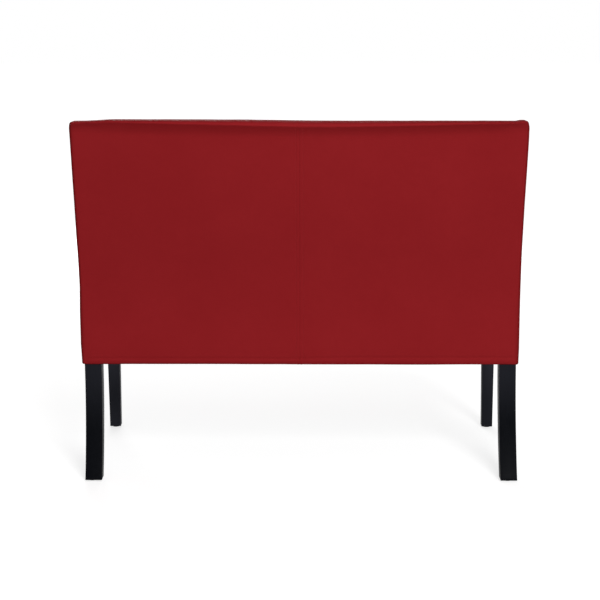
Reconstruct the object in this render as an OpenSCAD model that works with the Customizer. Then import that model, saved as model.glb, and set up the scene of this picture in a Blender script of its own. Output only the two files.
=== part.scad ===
// Two-seat upholstered bench with a raked back and black wooden legs.
// X runs along the width, the front faces -Y and Z is up. Lengths are in millimetres.

/* [Overall] */
// Width over the covers
body_w = 1180; // [1040:10:1360]
// Depth of the seat box, from its front face to the outside back
seat_box_d = 520; // [470:5:580]
// Height of the underside of the seat box
leg_h = 311; // [260:1:360]
// Thickness of the seat's upholstery at its edge, above the felt
seat_pad_t = 70.8; // [56:0.1:90]
// Height of the back above the seat's edge
back_rise = 497; // [420:1:580]

/* [Back] */
// Angle of the back from upright
back_rake = 12.75; // [8:0.25:16]
// Height above the seat's edge where the back bends away from upright
bend_rise = 42; // [32:1:80]
// Height over which the bend is spread
bend_len = 200; // [140:10:220]
// Thickness of the back at the seat
back_low_t = 82; // [78:1:96]
// Thickness of the back at the top
back_top_t = 62; // [58:1:72]
// Crown of the inside back
back_crown = 12; // [2:1:20]
// Radius of the roll at the top front edge
top_front_r = 22; // [16:1:26]
// Length of the roll from the crest to the rear seam
band_roll = 30; // [20:1:34]
// Drop of the rear seam below the crest at the middle
band_drop_mid = 16; // [8:1:18]
// Drop of the rear seam below the crest at the ends
band_drop_end = 5; // [3:1:8]
// How far the outside back swells out to meet the rear seam
seam_flare = 3; // [0:0.5:4]
// Height over which it swells out
flare_h = 26; // [16:1:40]

/* [Seat] */
// Crown of the seat
seat_crown = 16; // [2:1:24]
// Radius of the seat's upper edges
seat_edge_r = 16; // [12:1:22]
// Crown of the front border
front_crown = 4; // [0:0.5:8]

/* [Covers] */
// Thickness of the leather cloth
cover_t = 1.2; // [1:0.1:1.6]
// Thickness of the wadding on the foam
wadding_t = 6; // [4:0.5:6.5]
// Thickness of the padding over the frame
padding_t = 3.8; // [3:0.1:4.2]
// Thickness of the hardboard liner behind the back
liner_t = 2.6; // [2:0.1:3.2]
// Thickness of the felt on the webbing
felt_t = 1; // [0.6:0.1:2]
// Thickness of the dust cover under the seat
dust_cover_t = 0.6; // [0.4:0.1:1]
// Clearance between soft pieces and their neighbours
soft_gap = 0.3; // [0.2:0.05:0.4]
// Radius of the upright edges of the covers
cover_edge_r = 8; // [7:0.5:10]
// Radius of the hem that turns under the seat box
hem_r = 4; // [3:0.5:5]

/* [Legs] */
// Width of a rear leg
rear_leg_w = 43; // [38:1:50]
// Depth of a rear leg at the seat
rear_leg_d = 45; // [40:1:48]
// Depth of a rear leg at its foot
rear_foot_d = 37; // [30:1:42]
// Depth of the back stile at its top
stile_top_d = 30; // [26:1:34]
// How far the foot of a rear leg sweeps to the rear
leg_sweep = 64; // [30:1:80]
// Width of a front leg at the seat
front_leg_w = 33; // [31:1:40]
// Depth of a front leg at the seat
front_leg_d = 34; // [31:1:44]
// Width of a front leg at its foot
front_foot_w = 29.5; // [26:0.5:31]
// Depth of a front leg at its foot
front_foot_d = 30; // [26:0.5:31]
// How far the outer face of a front leg draws in at its foot
front_foot_in = 2.8; // [0:0.2:4]

/* [Frame] */
// Thickness of a rail
rail_t = 22; // [20:1:25]
// Height of a seat rail
rail_h = 90; // [84:1:96]
// Width of the seat bearer
bearer_w = 40; // [30:1:60]
// Height of the seat bearer
bearer_h = 56; // [45:1:60]
// Height of the back's top rail
top_rail_h = 60; // [50:1:70]
// Height of the back's lower rail
lower_rail_h = 55; // [45:1:60]
// Height of the bottom of the back's lower rail above the seat's edge
lower_rail_rise = 67; // [50:1:80]
// Gap between the frame's top and the crest of the back
frame_top_gap = 30; // [28:1:34]
// Width of the back's centre post
post_w = 45; // [35:1:60]
// Depth of the back's centre post
post_d = 22; // [18:1:22]
// Length of a corner block along a rail
block_l = 52; // [48:1:60]
// Height of a corner block
block_h = 60; // [50:1:70]

/* [Fixings] */
// Diameter of a dowel
dowel_d = 8; // [6:1:8]
// Length of a dowel
dowel_l = 40; // [30:1:44]
// Radial clearance of a dowel or screw in its hole
hole_gap = 0.05; // [0.02:0.01:0.1]
// Diameter of a corner screw's shank
screw_d = 4.5; // [3.5:0.5:5]
// Diameter of a corner screw's head
screw_head_d = 9; // [8:0.5:10]
// Length of a corner screw
screw_l = 40; // [36:1:44]
// Depth of a corner screw's head below the block's face
screw_sink = 9; // [7:1:11]
// Diameter of a foot glide
glide_d = 20; // [16:1:24]
// Thickness of a foot glide
glide_t = 3; // [2:0.5:5]
// Diameter of a glide's nail
glide_nail_d = 2.4; // [1.8:0.2:3]
// Length of a glide's nail
glide_nail_l = 16; // [12:1:20]

/* [Webbing] */
// Width of a webbing strap
strap_w = 58; // [46:2:64]
// Thickness of a webbing strap
strap_t = 1.4; // [1:0.1:1.8]
// Straps from the front rail to the rear rail
cross_straps = 8; // [6:2:8]
// Straps from side to side of the seat
long_straps = 3; // [2:1:3]
// Straps up the inside of the back
back_straps = 6; // [4:2:8]
// Width of a staple's crown
staple_w = 11; // [8:1:12]
// Thickness of a staple's wire
staple_t = 1; // [0.8:0.1:1.2]
// Length of a staple's legs
staple_l = 10; // [8:1:14]

/* [Hidden] */
$fn = 48;

// Colours as the photograph shows them
leather = [0.53, 0.11, 0.13];
black_wood = [0.09, 0.09, 0.1];
raw_wood = [0.78, 0.62, 0.42];

half_w = body_w/2;
rake_slope = tan(back_rake);

// Insets of each layer from the outer skin
pad_out = cover_t + soft_gap;
frame_in = pad_out + padding_t;
frame_rear_in = pad_out + liner_t;
foam_in = pad_out + wadding_t + soft_gap;
foam_side_in = frame_in + soft_gap;

// Heights, from the floor up
rail_z = leg_h + pad_out;
deck_z = rail_z + rail_h;
felt_z = deck_z + 2*strap_t + 2*soft_gap;
foam_z = felt_z + felt_t + soft_gap;
seat_h = foam_z + seat_pad_t;
lower_rail_z = seat_h + lower_rail_rise;
bend_z = seat_h + bend_rise;
bend_low_z = bend_z - bend_len/2;
bend_high_z = bend_z + bend_len/2;
back_h = seat_h + back_rise;
frame_top_z = back_h - frame_top_gap;
frame_half = half_w - frame_in;

// Places along the depth, measured from the lower part of the outside back
box_front_y = -seat_box_d;
leg_front_y = box_front_y + frame_in;
front_leg_rear_y = leg_front_y + front_leg_d;
rear_leg_front_y = -frame_rear_in - rear_leg_d;
front_rail_rear_y = leg_front_y + rail_t;
rear_rail_front_y = -frame_rear_in - rail_t;
seat_rear_y = -back_low_t - soft_gap;
side_rail_x = frame_half - rail_t/2;
front_leg_in_x = frame_half - front_leg_w;
rear_leg_in_x = frame_half - rear_leg_w;

// Shares of the half width, of the seat's depth and of the back's height where the cushions
// have their rows of points
across_shares = [0, 0.06, 0.2, 0.5, 0.8, 0.94, 1];
along_shares = [0, 0.06, 0.25, 0.5, 0.75, 0.94, 1];
up_shares = [0.25, 0.5, 0.75, 0.92, 1];
// The hidden foam and wadding have fewer rows
inner_along_shares = [0, 0.25, 0.75, 0.94, 1];
inner_up_shares = [0.25, 0.75, 0.92, 1];
border_shares = [0.25, 0.5, 0.75, 1];
// Share of the crown that the centre seam takes away
seam_dip_share = 0.55;
// Angles round the upright edges, and round the upper edges down to their seams
corner_end = 60;
corner_angles = [30, corner_end];
foam_corner_angles = [30, corner_end, 90];
edge_end = 50;
edge_angles = [17, 34, edge_end];
wadding_edge_angles = [15, 30, 45];
foam_edge_angles = [15, 30, 45, 90];
// Angles round the hem, from its end up to the cover's face
hem_end = 75;
hem_angles = [hem_end, hem_end/2];
// Steps round the bend of the back, the same in every piece that follows it
bend_steps = 5;

// The outer skin of the back, as heights and depths
function bend(z) =
    z < bend_low_z ? 0
    : z > bend_high_z ? rake_slope*(z - bend_z)
    : rake_slope*pow(z - bend_low_z, 2)/(2*bend_len);
function seam_z(x) =
    back_h - band_drop_end - (band_drop_mid - band_drop_end)*max(0, 1 - pow(x/half_w, 2));
function flare(x, z) = seam_flare*pow(min(1, max(0, 1 - (seam_z(x) - z)/flare_h)), 2);
function back_t(z) =
    back_low_t + (back_top_t - back_low_t)*max(0, z - seat_h)/(back_h - seat_h);
function front_skin_y(z) = bend(z) - back_t(z);

// The stile inside the back, and the leg below it
function stile_d(z) =
    z < bend_low_z ? rear_leg_d
    : rear_leg_d + (stile_top_d - rear_leg_d)*(z - bend_low_z)/(frame_top_z - bend_low_z);
function sweep_share(z) = max(0, (leg_h - z)/leg_h);
function post_rear_y(z) = bend(z) - frame_rear_in + leg_sweep*pow(sweep_share(z), 2);
function post_front_y(z) =
    post_rear_y(z) - stile_d(z) + (rear_leg_d - rear_foot_d)*sweep_share(z);

// How full a cushion is along its width, from its centre seam to its end, and along its length
function across_fill(x, half) =
    let (u = 2*x/half - 1)
    u < 0 ? 1 - seam_dip_share*pow(-u, 8) : max(0, 1 - pow(u, 4));
function along_fill(s) = max(0, 1 - pow(abs(2*s - 1), 4));

// A rounded edge in a section: how far along and how far back the skin is at an angle
function turn(size, r, inset, a) = [size - r + (r - inset)*sin(a), (r - inset)*(1 - cos(a))];

// Stations of half the width as [x, set-back, angle], flat up to the edge and then round it
function stations(r, side_inset, face_inset, angles) = concat(
    [for (s = across_shares) [s*(half_w - r), 0, 0]],
    [for (a = angles) [turn(half_w, r, side_inset, a)[0], turn(half_w, r, face_inset, a)[1], a]]
);
function cover_stations(inset) = stations(cover_edge_r, inset, inset, corner_angles);

// Turns a grid of outer points and a grid of inner points into one closed solid. Columns before
// the centre column are split along the other diagonal, so that both halves match.
module slab(outer, inner, centre = 0) {
    rows = len(outer);
    cols = len(outer[0]);
    mid_row = floor(rows/2);
    mid_col = floor(cols/2);
    here = outer[mid_row][mid_col];
    side = cross(outer[mid_row - 1][mid_col] - here, outer[mid_row][mid_col - 1] - here)
        * (here - inner[mid_row][mid_col]);
    function at(layer, i, j) = (layer*rows + i)*cols + j;
    function quad(a, b, c, d) = side > 0 ? [[a, c, b], [a, d, c]] : [[a, b, c], [a, c, d]];
    faces = [
        for (i = [0:rows - 2], j = [0:cols - 2])
            each j < centre
                ? quad(at(0, i + 1, j), at(0, i, j), at(0, i, j + 1), at(0, i + 1, j + 1))
                : quad(at(0, i, j), at(0, i, j + 1), at(0, i + 1, j + 1), at(0, i + 1, j)),
        for (i = [0:rows - 2], j = [0:cols - 2])
            each j < centre
                ? quad(at(1, i + 1, j), at(1, i + 1, j + 1), at(1, i, j + 1), at(1, i, j))
                : quad(at(1, i, j), at(1, i + 1, j), at(1, i + 1, j + 1), at(1, i, j + 1)),
        for (i = [0:rows - 2])
            each quad(at(0, i, 0), at(0, i + 1, 0), at(1, i + 1, 0), at(1, i, 0)),
        for (i = [0:rows - 2])
            each quad(at(0, i + 1, cols - 1), at(0, i, cols - 1),
                      at(1, i, cols - 1), at(1, i + 1, cols - 1)),
        for (j = [0:cols - 2])
            each quad(at(0, 0, j + 1), at(0, 0, j), at(1, 0, j), at(1, 0, j + 1)),
        for (j = [0:cols - 2])
            each quad(at(0, rows - 1, j), at(0, rows - 1, j + 1),
                      at(1, rows - 1, j + 1), at(1, rows - 1, j))
    ];
    points = [for (grid = [outer, inner]) for (row = grid) for (p = row) p];
    polyhedron(points, faces);
}

// The front and the top of the back. Each station is a column, and the rows run up the face
// from the deck, round the front roll and over the top to the rear seam.
function face_point(st, z, inset) =
    let (s = max(0, (z - seat_h)/(back_h - top_front_r - seat_h)))
    [st[0],
     front_skin_y(z) + inset + st[1] - back_crown*along_fill(s)*across_fill(st[0], half_w),
     z];
function roll_point(st, a, inset) =
    let (z0 = back_h - top_front_r, r = top_front_r - inset, y0 = front_skin_y(z0) + top_front_r)
    [st[0], y0 - r*cos(a) + st[1]*cos(a), z0 + r*sin(a) - st[1]*sin(a)];
function band_y(x) = bend(seam_z(x)) + flare(x, seam_z(x));
function band_point(st, a, inset) =
    let (drop = back_h - seam_z(st[0]))
    [st[0],
     band_y(st[0]) - inset*sin(a) - band_roll*(1 - sin(a)),
     back_h - (inset + st[1])*cos(a) - drop*(1 - cos(a))];

function levels(z0, z1, steps) = [for (k = [0:steps]) z0 + (z1 - z0)*k/steps];
bend_levels = levels(bend_low_z, bend_high_z, bend_steps);
function straight_levels(shares) =
    [for (s = shares) bend_high_z + s*(back_h - top_front_r - bend_high_z)];
function face_levels(shares) = concat(
    [foam_z + soft_gap],
    [for (z = bend_levels) if (z > foam_z + hem_r) z],
    straight_levels(shares)
);
inner_roll_angles = [edge_end, 90];
band_roll_angles = [edge_end, 70, 90];
band_angles = [0, 30, 60, 90];
inner_band_angles = [0, 30, 60];

function back_rows(st_list, inset, face_list, roll_list, band_list) = concat(
    [for (z = face_list) [for (st = st_list) face_point(st, z, inset)]],
    [for (a = roll_list) [for (st = st_list) roll_point(st, a, inset)]],
    [for (a = band_list) [for (st = st_list) band_point(st, a, inset)]]
);

// The rear skin, from the hem up to the rear seam
rear_levels = concat(
    [leg_h + hem_r, (leg_h + bend_low_z)/2],
    bend_levels,
    [(bend_high_z + back_h - band_drop_mid - flare_h)/2]
);
// How far the hem has turned in at an angle
function hem_in(inset, a) = (hem_r - inset)*(1 - cos(a));
function rear_point(st, z, inset) =
    [st[0], bend(z) + flare(st[0], z) - inset - st[1], z];
function rear_rows(st_list, inset) = concat(
    [for (a = hem_angles)
        [for (st = st_list)
            [st[0] - hem_in(inset, a)*sin(st[2]),
             -inset - st[1] - hem_in(inset, a)*cos(st[2]),
             leg_h + hem_r - (hem_r - inset)*sin(a)]]],
    [for (z = rear_levels) [for (st = st_list) rear_point(st, z, inset)]],
    [for (k = [2, 1, 0])
        [for (st = st_list) rear_point(st, seam_z(st[0]) - soft_gap - flare_h*k/2, inset)]]
);

// The section of a seat border: down from the seat's upper edge and round the hem, as
// [distance in from the inset face of the box, height]
border_top_angles = [edge_end + 2, 70, 90];
border_up_shares = [0.85, 0.5, 0.15];
function border_section(inset) = concat(
    [for (a = border_top_angles)
        [(seat_edge_r - inset)*(1 - sin(a)), seat_h - seat_edge_r + (seat_edge_r - inset)*cos(a)]],
    [for (s = border_up_shares) [0, leg_h + hem_r + s*(seat_h - seat_edge_r - leg_h - hem_r)]],
    [for (a = [0, hem_end/2, hem_end])
        [hem_in(inset, a), leg_h + hem_r - (hem_r - inset)*sin(a)]]
);
function border_fill(z) = along_fill((z - leg_h)/(seat_h - leg_h));

// The most that the seat and the back reach to the front and to the rear
front_reach = seat_box_d + front_crown;
rear_reach = max([for (x = [0, half_w - cover_edge_r]) band_y(x)]);
origin_y = (front_reach - rear_reach)/2;
module in_frame() {
    translate([0, origin_y, 0]) children();
}
module mirrored(flip) {
    mirror([flip ? 1 : 0, 0, 0]) children();
}

// A prism along X whose section is a list of [y, z]
module across(section, x0, x1) {
    translate([x0, 0, 0]) rotate([90, 0, 90]) linear_extrude(x1 - x0) polygon(section);
}
// A box given by its corners
module block(low, high) {
    translate(low) cube(high - low);
}
// Straight pins or their holes, each centred on a joint
module pins_x(places, d, l) {
    for (p = places) translate(p) rotate([0, 90, 0]) cylinder(d = d, h = l, center = true);
}
module pins_y(places, d, l) {
    for (p = places) translate(p) rotate([90, 0, 0]) cylinder(d = d, h = l, center = true);
}
module pins_up(places, d, l) {
    for (p = places) translate(p) rotate([-back_rake, 0, 0]) cylinder(d = d, h = l, center = true);
}

// Dowel places, for the half at +X. The two rails that meet in a leg have their dowels at
// different heights.
end_shares = [0.16, 0.66];
side_shares = [0.36, 0.86];
front_rail_pins = [for (s = end_shares)
    [front_leg_in_x, leg_front_y + rail_t/2, rail_z + s*rail_h]];
rear_rail_pins = [for (s = end_shares)
    [rear_leg_in_x, rear_rail_front_y + rail_t/2, rail_z + s*rail_h]];
side_pins_front = [for (s = side_shares) [side_rail_x, front_leg_rear_y, rail_z + s*rail_h]];
side_pins_rear = [for (s = side_shares) [side_rail_x, rear_leg_front_y, rail_z + s*rail_h]];
bearer_pins = [for (y = [front_rail_rear_y, rear_rail_front_y], s = [-0.25, 0.25])
    [s*bearer_w, y, rail_z + bearer_h/2]];
top_rail_z = frame_top_z - top_rail_h;
top_rail_pins = [for (s = [0.25, 0.75])
    let (z = top_rail_z + s*top_rail_h)
    [rear_leg_in_x, (post_rear_y(z) + post_front_y(z))/2, z]];
lower_rail_pins = [for (s = [0.25, 0.75])
    let (z = lower_rail_z + s*lower_rail_h)
    [rear_leg_in_x, post_front_y(z) + rail_t/2, z]];
lower_rail_top_z = lower_rail_z + lower_rail_h;
post_pins = [for (z = [lower_rail_top_z, top_rail_z], s = [-0.25, 0.25])
    [s*post_w, post_rear_y(z) - post_d/2, z]];
hole_d = dowel_d + 2*hole_gap;
hole_l = dowel_l + 2*hole_gap;

// Legs
leg_steps = 10;
post_levels = concat(
    [for (k = [0:leg_steps]) glide_t + (leg_h - glide_t)*k/leg_steps],
    bend_levels,
    [frame_top_z]
);
rear_foot_y = (post_rear_y(glide_t) + post_front_y(glide_t))/2;
rear_foot_x = frame_half - rear_leg_w/2;
front_foot_x = frame_half - front_foot_in - front_foot_w/2;
front_foot_y = leg_front_y + front_leg_d/2;

module rear_leg() {
    color(black_wood) in_frame() difference() {
        across(concat([for (z = post_levels) [post_rear_y(z), z]],
                      [for (k = [len(post_levels) - 1:-1:0])
                          [post_front_y(post_levels[k]), post_levels[k]]]),
               rear_leg_in_x, frame_half);
        pins_x(concat(rear_rail_pins, top_rail_pins, lower_rail_pins), hole_d, hole_l);
        pins_y(side_pins_rear, hole_d, hole_l);
        glide_nail(rear_foot_x, rear_foot_y, hole_gap);
    }
}
module front_leg() {
    foot_front_y = front_foot_y - front_foot_d/2;
    color(black_wood) in_frame() difference() {
        intersection() {
            across([[foot_front_y, glide_t], [foot_front_y + front_foot_d, glide_t],
                    [front_leg_rear_y, leg_h], [front_leg_rear_y, deck_z],
                    [leg_front_y, deck_z], [leg_front_y, leg_h]],
                   front_leg_in_x - front_leg_w, frame_half + front_leg_w);
            translate([0, front_leg_rear_y + front_leg_d, 0]) rotate([90, 0, 0])
                linear_extrude(3*front_leg_d) polygon([
                    [front_foot_x - front_foot_w/2, glide_t], [front_foot_x + front_foot_w/2, glide_t],
                    [frame_half, leg_h], [frame_half, deck_z],
                    [front_leg_in_x, deck_z], [front_leg_in_x, leg_h]]);
        }
        pins_x(front_rail_pins, hole_d, hole_l);
        pins_y(side_pins_front, hole_d, hole_l);
        glide_nail(front_foot_x, front_foot_y, hole_gap);
    }
}
module rear_leg_left() {
    mirrored(true) rear_leg();
}
module rear_leg_right() {
    rear_leg();
}
module front_leg_left() {
    mirrored(true) front_leg();
}
module front_leg_right() {
    front_leg();
}

// Foot glides: a nylon disc moulded on a nail
module glide_nail(x, y, gap) {
    translate([x, y, glide_t]) cylinder(d = glide_nail_d + 2*gap, h = glide_nail_l + gap);
}
module glide(x, y) {
    color("gray") in_frame() union() {
        translate([x, y, 0]) cylinder(d = glide_d, h = glide_t);
        glide_nail(x, y, 0);
    }
}
module foot_glide_front_left() {
    mirrored(true) glide(front_foot_x, front_foot_y);
}
module foot_glide_front_right() {
    glide(front_foot_x, front_foot_y);
}
module foot_glide_rear_left() {
    mirrored(true) glide(rear_foot_x, rear_foot_y);
}
module foot_glide_rear_right() {
    glide(rear_foot_x, rear_foot_y);
}

// Corner blocks fill the corners between two rails and are notched round the leg. A corner is
// given as [side rail face x, end rail face y, leg face x, leg face y, 1 front or -1 rear].
front_corner = [frame_half - rail_t, front_rail_rear_y, front_leg_in_x, front_leg_rear_y, 1];
rear_corner = [frame_half - rail_t, rear_rail_front_y, rear_leg_in_x, rear_leg_front_y, -1];
block_gap = 1;
block_z = rail_z + rail_h/10;
screw_inset = 17;
module corner_outline(c) {
    d = c[4];
    polygon([
        [c[0], c[3] + d*block_gap], [c[0], c[3] + d*block_l],
        [c[2] - block_l, c[1]], [c[2] - block_gap, c[1]], [c[2] - block_gap, c[3] + d*block_gap]
    ]);
}
// The slanted face of a block lies on this line, as x for a y and as y for an x
function slant_x(c, y) =
    let (y0 = c[3] + c[4]*block_l)
    c[0] + (c[2] - block_l - c[0])*(y - y0)/(c[1] - y0);
function slant_y(c, x) =
    let (y0 = c[3] + c[4]*block_l)
    y0 + (c[1] - y0)*(x - c[0])/(c[2] - block_l - c[0]);
module screw(gap, sink) {
    union() {
        translate([0, 0, -sink]) cylinder(d = screw_head_d + 2*gap, h = sink);
        cylinder(d1 = screw_head_d + 2*gap, d2 = screw_d + 2*gap, h = (screw_head_d - screw_d)/2);
        cylinder(d = screw_d + 2*gap, h = screw_l - screw_d + gap);
        translate([0, 0, screw_l - screw_d + gap])
            cylinder(d1 = screw_d + 2*gap, d2 = screw_d/4, h = screw_d);
    }
}
// One screw goes into the side rail and one into the front or rear rail
module corner_screw_pair(c, gap, sink) {
    d = c[4];
    y = c[3] + d*screw_inset;
    x = c[2] - screw_inset;
    z = block_z + block_h/2;
    shift = block_h/6;
    translate([slant_x(c, y) + screw_sink, y, z + shift]) rotate([0, 90, 0]) screw(gap, sink);
    translate([x, slant_y(c, x) - d*screw_sink, z - shift]) rotate([d*90, 0, 0]) screw(gap, sink);
}
module corner_block(c) {
    color(raw_wood) in_frame() difference() {
        translate([0, 0, block_z]) linear_extrude(block_h) corner_outline(c);
        corner_screw_pair(c, hole_gap, block_l);
    }
}
module corner_block_front_left() {
    mirrored(true) corner_block(front_corner);
}
module corner_block_front_right() {
    corner_block(front_corner);
}
module corner_block_rear_left() {
    mirrored(true) corner_block(rear_corner);
}
module corner_block_rear_right() {
    corner_block(rear_corner);
}
module corner_screws() {
    color("silver") for (flip = [false, true], c = [front_corner, rear_corner])
        mirrored(flip) in_frame() corner_screw_pair(c, 0, 0);
}

// Seat frame
module seat_rail_front() {
    color(raw_wood) in_frame() difference() {
        block([-front_leg_in_x, leg_front_y, rail_z], [front_leg_in_x, front_rail_rear_y, deck_z]);
        for (flip = [false, true]) mirrored(flip) {
            pins_x(front_rail_pins, hole_d, hole_l);
            corner_screw_pair(front_corner, hole_gap, 0);
        }
        pins_y(bearer_pins, hole_d, hole_l);
        front_staples(hole_gap);
    }
}
module seat_rail_rear() {
    color(raw_wood) in_frame() difference() {
        block([-rear_leg_in_x, rear_rail_front_y, rail_z], [rear_leg_in_x, -frame_rear_in, deck_z]);
        for (flip = [false, true]) mirrored(flip) {
            pins_x(rear_rail_pins, hole_d, hole_l);
            corner_screw_pair(rear_corner, hole_gap, 0);
        }
        pins_y(bearer_pins, hole_d, hole_l);
        rear_staples(hole_gap);
    }
}
module seat_side_rail() {
    color(raw_wood) in_frame() difference() {
        block([frame_half - rail_t, front_leg_rear_y, rail_z], [frame_half, rear_leg_front_y, deck_z]);
        pins_y(concat(side_pins_front, side_pins_rear), hole_d, hole_l);
        corner_screw_pair(front_corner, hole_gap, 0);
        corner_screw_pair(rear_corner, hole_gap, 0);
        side_staples(hole_gap);
    }
}
module seat_rail_left() {
    mirrored(true) seat_side_rail();
}
module seat_rail_right() {
    seat_side_rail();
}
module seat_bearer() {
    color(raw_wood) in_frame() difference() {
        block([-bearer_w/2, front_rail_rear_y, rail_z], [bearer_w/2, rear_rail_front_y, rail_z + bearer_h]);
        pins_y(bearer_pins, hole_d, hole_l);
    }
}

// Back frame
module back_top_rail() {
    color(raw_wood) in_frame() difference() {
        across([for (p = [[top_rail_z, 0], [frame_top_z, 0], [frame_top_z, 1], [top_rail_z, 1]])
                   [p[1] > 0 ? post_rear_y(p[0]) : post_front_y(p[0]), p[0]]],
               -rear_leg_in_x, rear_leg_in_x);
        for (flip = [false, true]) mirrored(flip) pins_x(top_rail_pins, hole_d, hole_l);
        pins_up(post_pins, hole_d, hole_l);
        back_staples(hole_gap);
    }
}
module back_lower_rail() {
    zs = levels(lower_rail_z, lower_rail_top_z, 2);
    color(raw_wood) in_frame() difference() {
        across(concat([for (z = zs) [post_front_y(z), z]],
                      [for (k = [2:-1:0]) [post_front_y(zs[k]) + rail_t, zs[k]]]),
               -rear_leg_in_x, rear_leg_in_x);
        for (flip = [false, true]) mirrored(flip) pins_x(lower_rail_pins, hole_d, hole_l);
        pins_up(post_pins, hole_d, hole_l);
        back_staples(hole_gap);
    }
}
module back_centre_post() {
    zs = levels(lower_rail_top_z, top_rail_z, 6);
    color(raw_wood) in_frame() difference() {
        across(concat([for (z = zs) [post_rear_y(z) - soft_gap, z]],
                      [for (k = [6:-1:0]) [post_rear_y(zs[k]) - soft_gap - post_d, zs[k]]]),
               -post_w/2, post_w/2);
        pins_up(post_pins, hole_d, hole_l);
    }
}
module frame_dowels() {
    color("tan") in_frame() {
        for (flip = [false, true]) mirrored(flip) {
            pins_x(concat(front_rail_pins, rear_rail_pins, top_rail_pins, lower_rail_pins),
                   dowel_d, dowel_l);
            pins_y(concat(side_pins_front, side_pins_rear), dowel_d, dowel_l);
        }
        pins_y(bearer_pins, dowel_d, dowel_l);
        pins_up(post_pins, dowel_d, dowel_l);
    }
}

// Webbing: the seat's straps are woven, so each one rides over every second strap it meets
cross_pitch = 2*front_leg_in_x/cross_straps;
cross_xs = [for (i = [0:cross_straps - 1]) -front_leg_in_x + cross_pitch*(i + 0.5)];
long_room = rear_leg_front_y - front_leg_rear_y;
long_pitch = long_room/long_straps;
long_ys = [for (j = [0:long_straps - 1]) front_leg_rear_y + long_pitch*(j + 0.5)];
strap_lift = strap_t + soft_gap;
strap_flat = strap_w/2 + strap_t;
strap_end = rail_t/5;
// A strap's section from one rail to the other, as [distance, height]
function strap_line(from, to, crossings, first) = concat(
    [[from, 0], [from + rail_t - strap_end, 0]],
    [for (k = [0:len(crossings) - 1])
        let (lift = (k + first) % 2 == 0 ? strap_lift : 0)
        each [[crossings[k] - strap_flat, lift], [crossings[k] + strap_flat, lift]]],
    [[to - rail_t + strap_end, 0], [to, 0]]
);
function strip(line) = concat(
    line,
    [for (k = [len(line) - 1:-1:0]) line[k] + [0, strap_t]]
);
front_end_y = leg_front_y + strap_end;
rear_end_y = -frame_rear_in - strap_end;
side_end_x = frame_half - strap_end;
module seat_webbing_cross() {
    color("wheat") in_frame() difference() {
        for (i = [0:cross_straps - 1])
            translate([0, 0, deck_z])
                across(strip(strap_line(front_end_y, rear_end_y, long_ys, i)),
                       cross_xs[i] - strap_w/2, cross_xs[i] + strap_w/2);
        front_staples(hole_gap);
        rear_staples(hole_gap);
    }
}
module seat_webbing_long() {
    color("wheat") in_frame() difference() {
        for (j = [0:long_straps - 1])
            translate([0, long_ys[j] + strap_w/2, deck_z]) rotate([90, 0, 0])
                linear_extrude(strap_w)
                    polygon(strip(strap_line(-side_end_x, side_end_x, cross_xs, j + 1)));
        for (flip = [false, true]) mirrored(flip) side_staples(hole_gap);
    }
}
back_pitch = 2*rear_leg_in_x/back_straps;
back_xs = [for (i = [0:back_straps - 1]) -rear_leg_in_x + back_pitch*(i + 0.5)];
back_strap_low_z = lower_rail_z + lower_rail_h/5;
back_strap_high_z = frame_top_z - top_rail_h/5;
module back_webbing() {
    zs = concat(levels(back_strap_low_z, bend_high_z, 4), [back_strap_high_z]);
    color("wheat") in_frame() difference() {
        for (x = back_xs)
            across(concat([for (z = zs) [post_front_y(z) - soft_gap, z]],
                          [for (k = [5:-1:0]) [post_front_y(zs[k]) - soft_gap - strap_t, zs[k]]]),
                   x - strap_w/2, x + strap_w/2);
        back_staples(hole_gap);
    }
}

// Staples: a crown on the strap and two legs through it into the rail
staple_shares = [-0.28, 0.28];
module staple(gap) {
    for (s = [-0.5, 0.5])
        translate([s*(staple_w - staple_t) - staple_t/2 - gap, -staple_t/2 - gap, -staple_l - gap])
            cube([staple_t + 2*gap, staple_t + 2*gap, staple_l + gap + (gap > 0 ? strap_t : 0)]);
    if (gap == 0)
        translate([-staple_w/2, -staple_t/2, 0]) cube([staple_w, staple_t, staple_t]);
}
staple_z = deck_z + strap_t;
staple_in = rail_t/2 - strap_end;
module front_staples(gap) {
    for (x = cross_xs, s = staple_shares)
        translate([x + s*strap_w, front_end_y + staple_in, staple_z]) staple(gap);
}
module rear_staples(gap) {
    for (x = cross_xs, s = staple_shares)
        translate([x + s*strap_w, rear_end_y - staple_in, staple_z]) staple(gap);
}
module side_staples(gap) {
    for (y = long_ys, s = staple_shares)
        translate([side_end_x - staple_in, y + s*strap_w, staple_z]) rotate([0, 0, 90]) staple(gap);
}
module back_staples(gap) {
    for (x = back_xs, s = staple_shares)
        for (z = [back_strap_low_z + lower_rail_h/8, back_strap_high_z - top_rail_h/8])
            let (slope = atan2(post_front_y(z + staple_t) - post_front_y(z - staple_t), 2*staple_t))
            translate([x + s*strap_w, post_front_y(z) - soft_gap - strap_t - soft_gap/3, z])
                rotate([90 - slope, 0, 0]) staple(gap);
}
module webbing_staples() {
    color("silver") in_frame() {
        front_staples(0);
        rear_staples(0);
        for (flip = [false, true]) mirrored(flip) side_staples(0);
        back_staples(0);
    }
}

// Seat upholstery
felt_in = rail_t/5;
module seat_deck_felt() {
    color("dimgray") in_frame()
        block([-frame_half + felt_in, leg_front_y + felt_in, felt_z],
              [frame_half - felt_in, seat_rear_y - felt_in, felt_z + felt_t]);
}
seat_run = seat_box_d + seat_rear_y - seat_edge_r;
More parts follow.
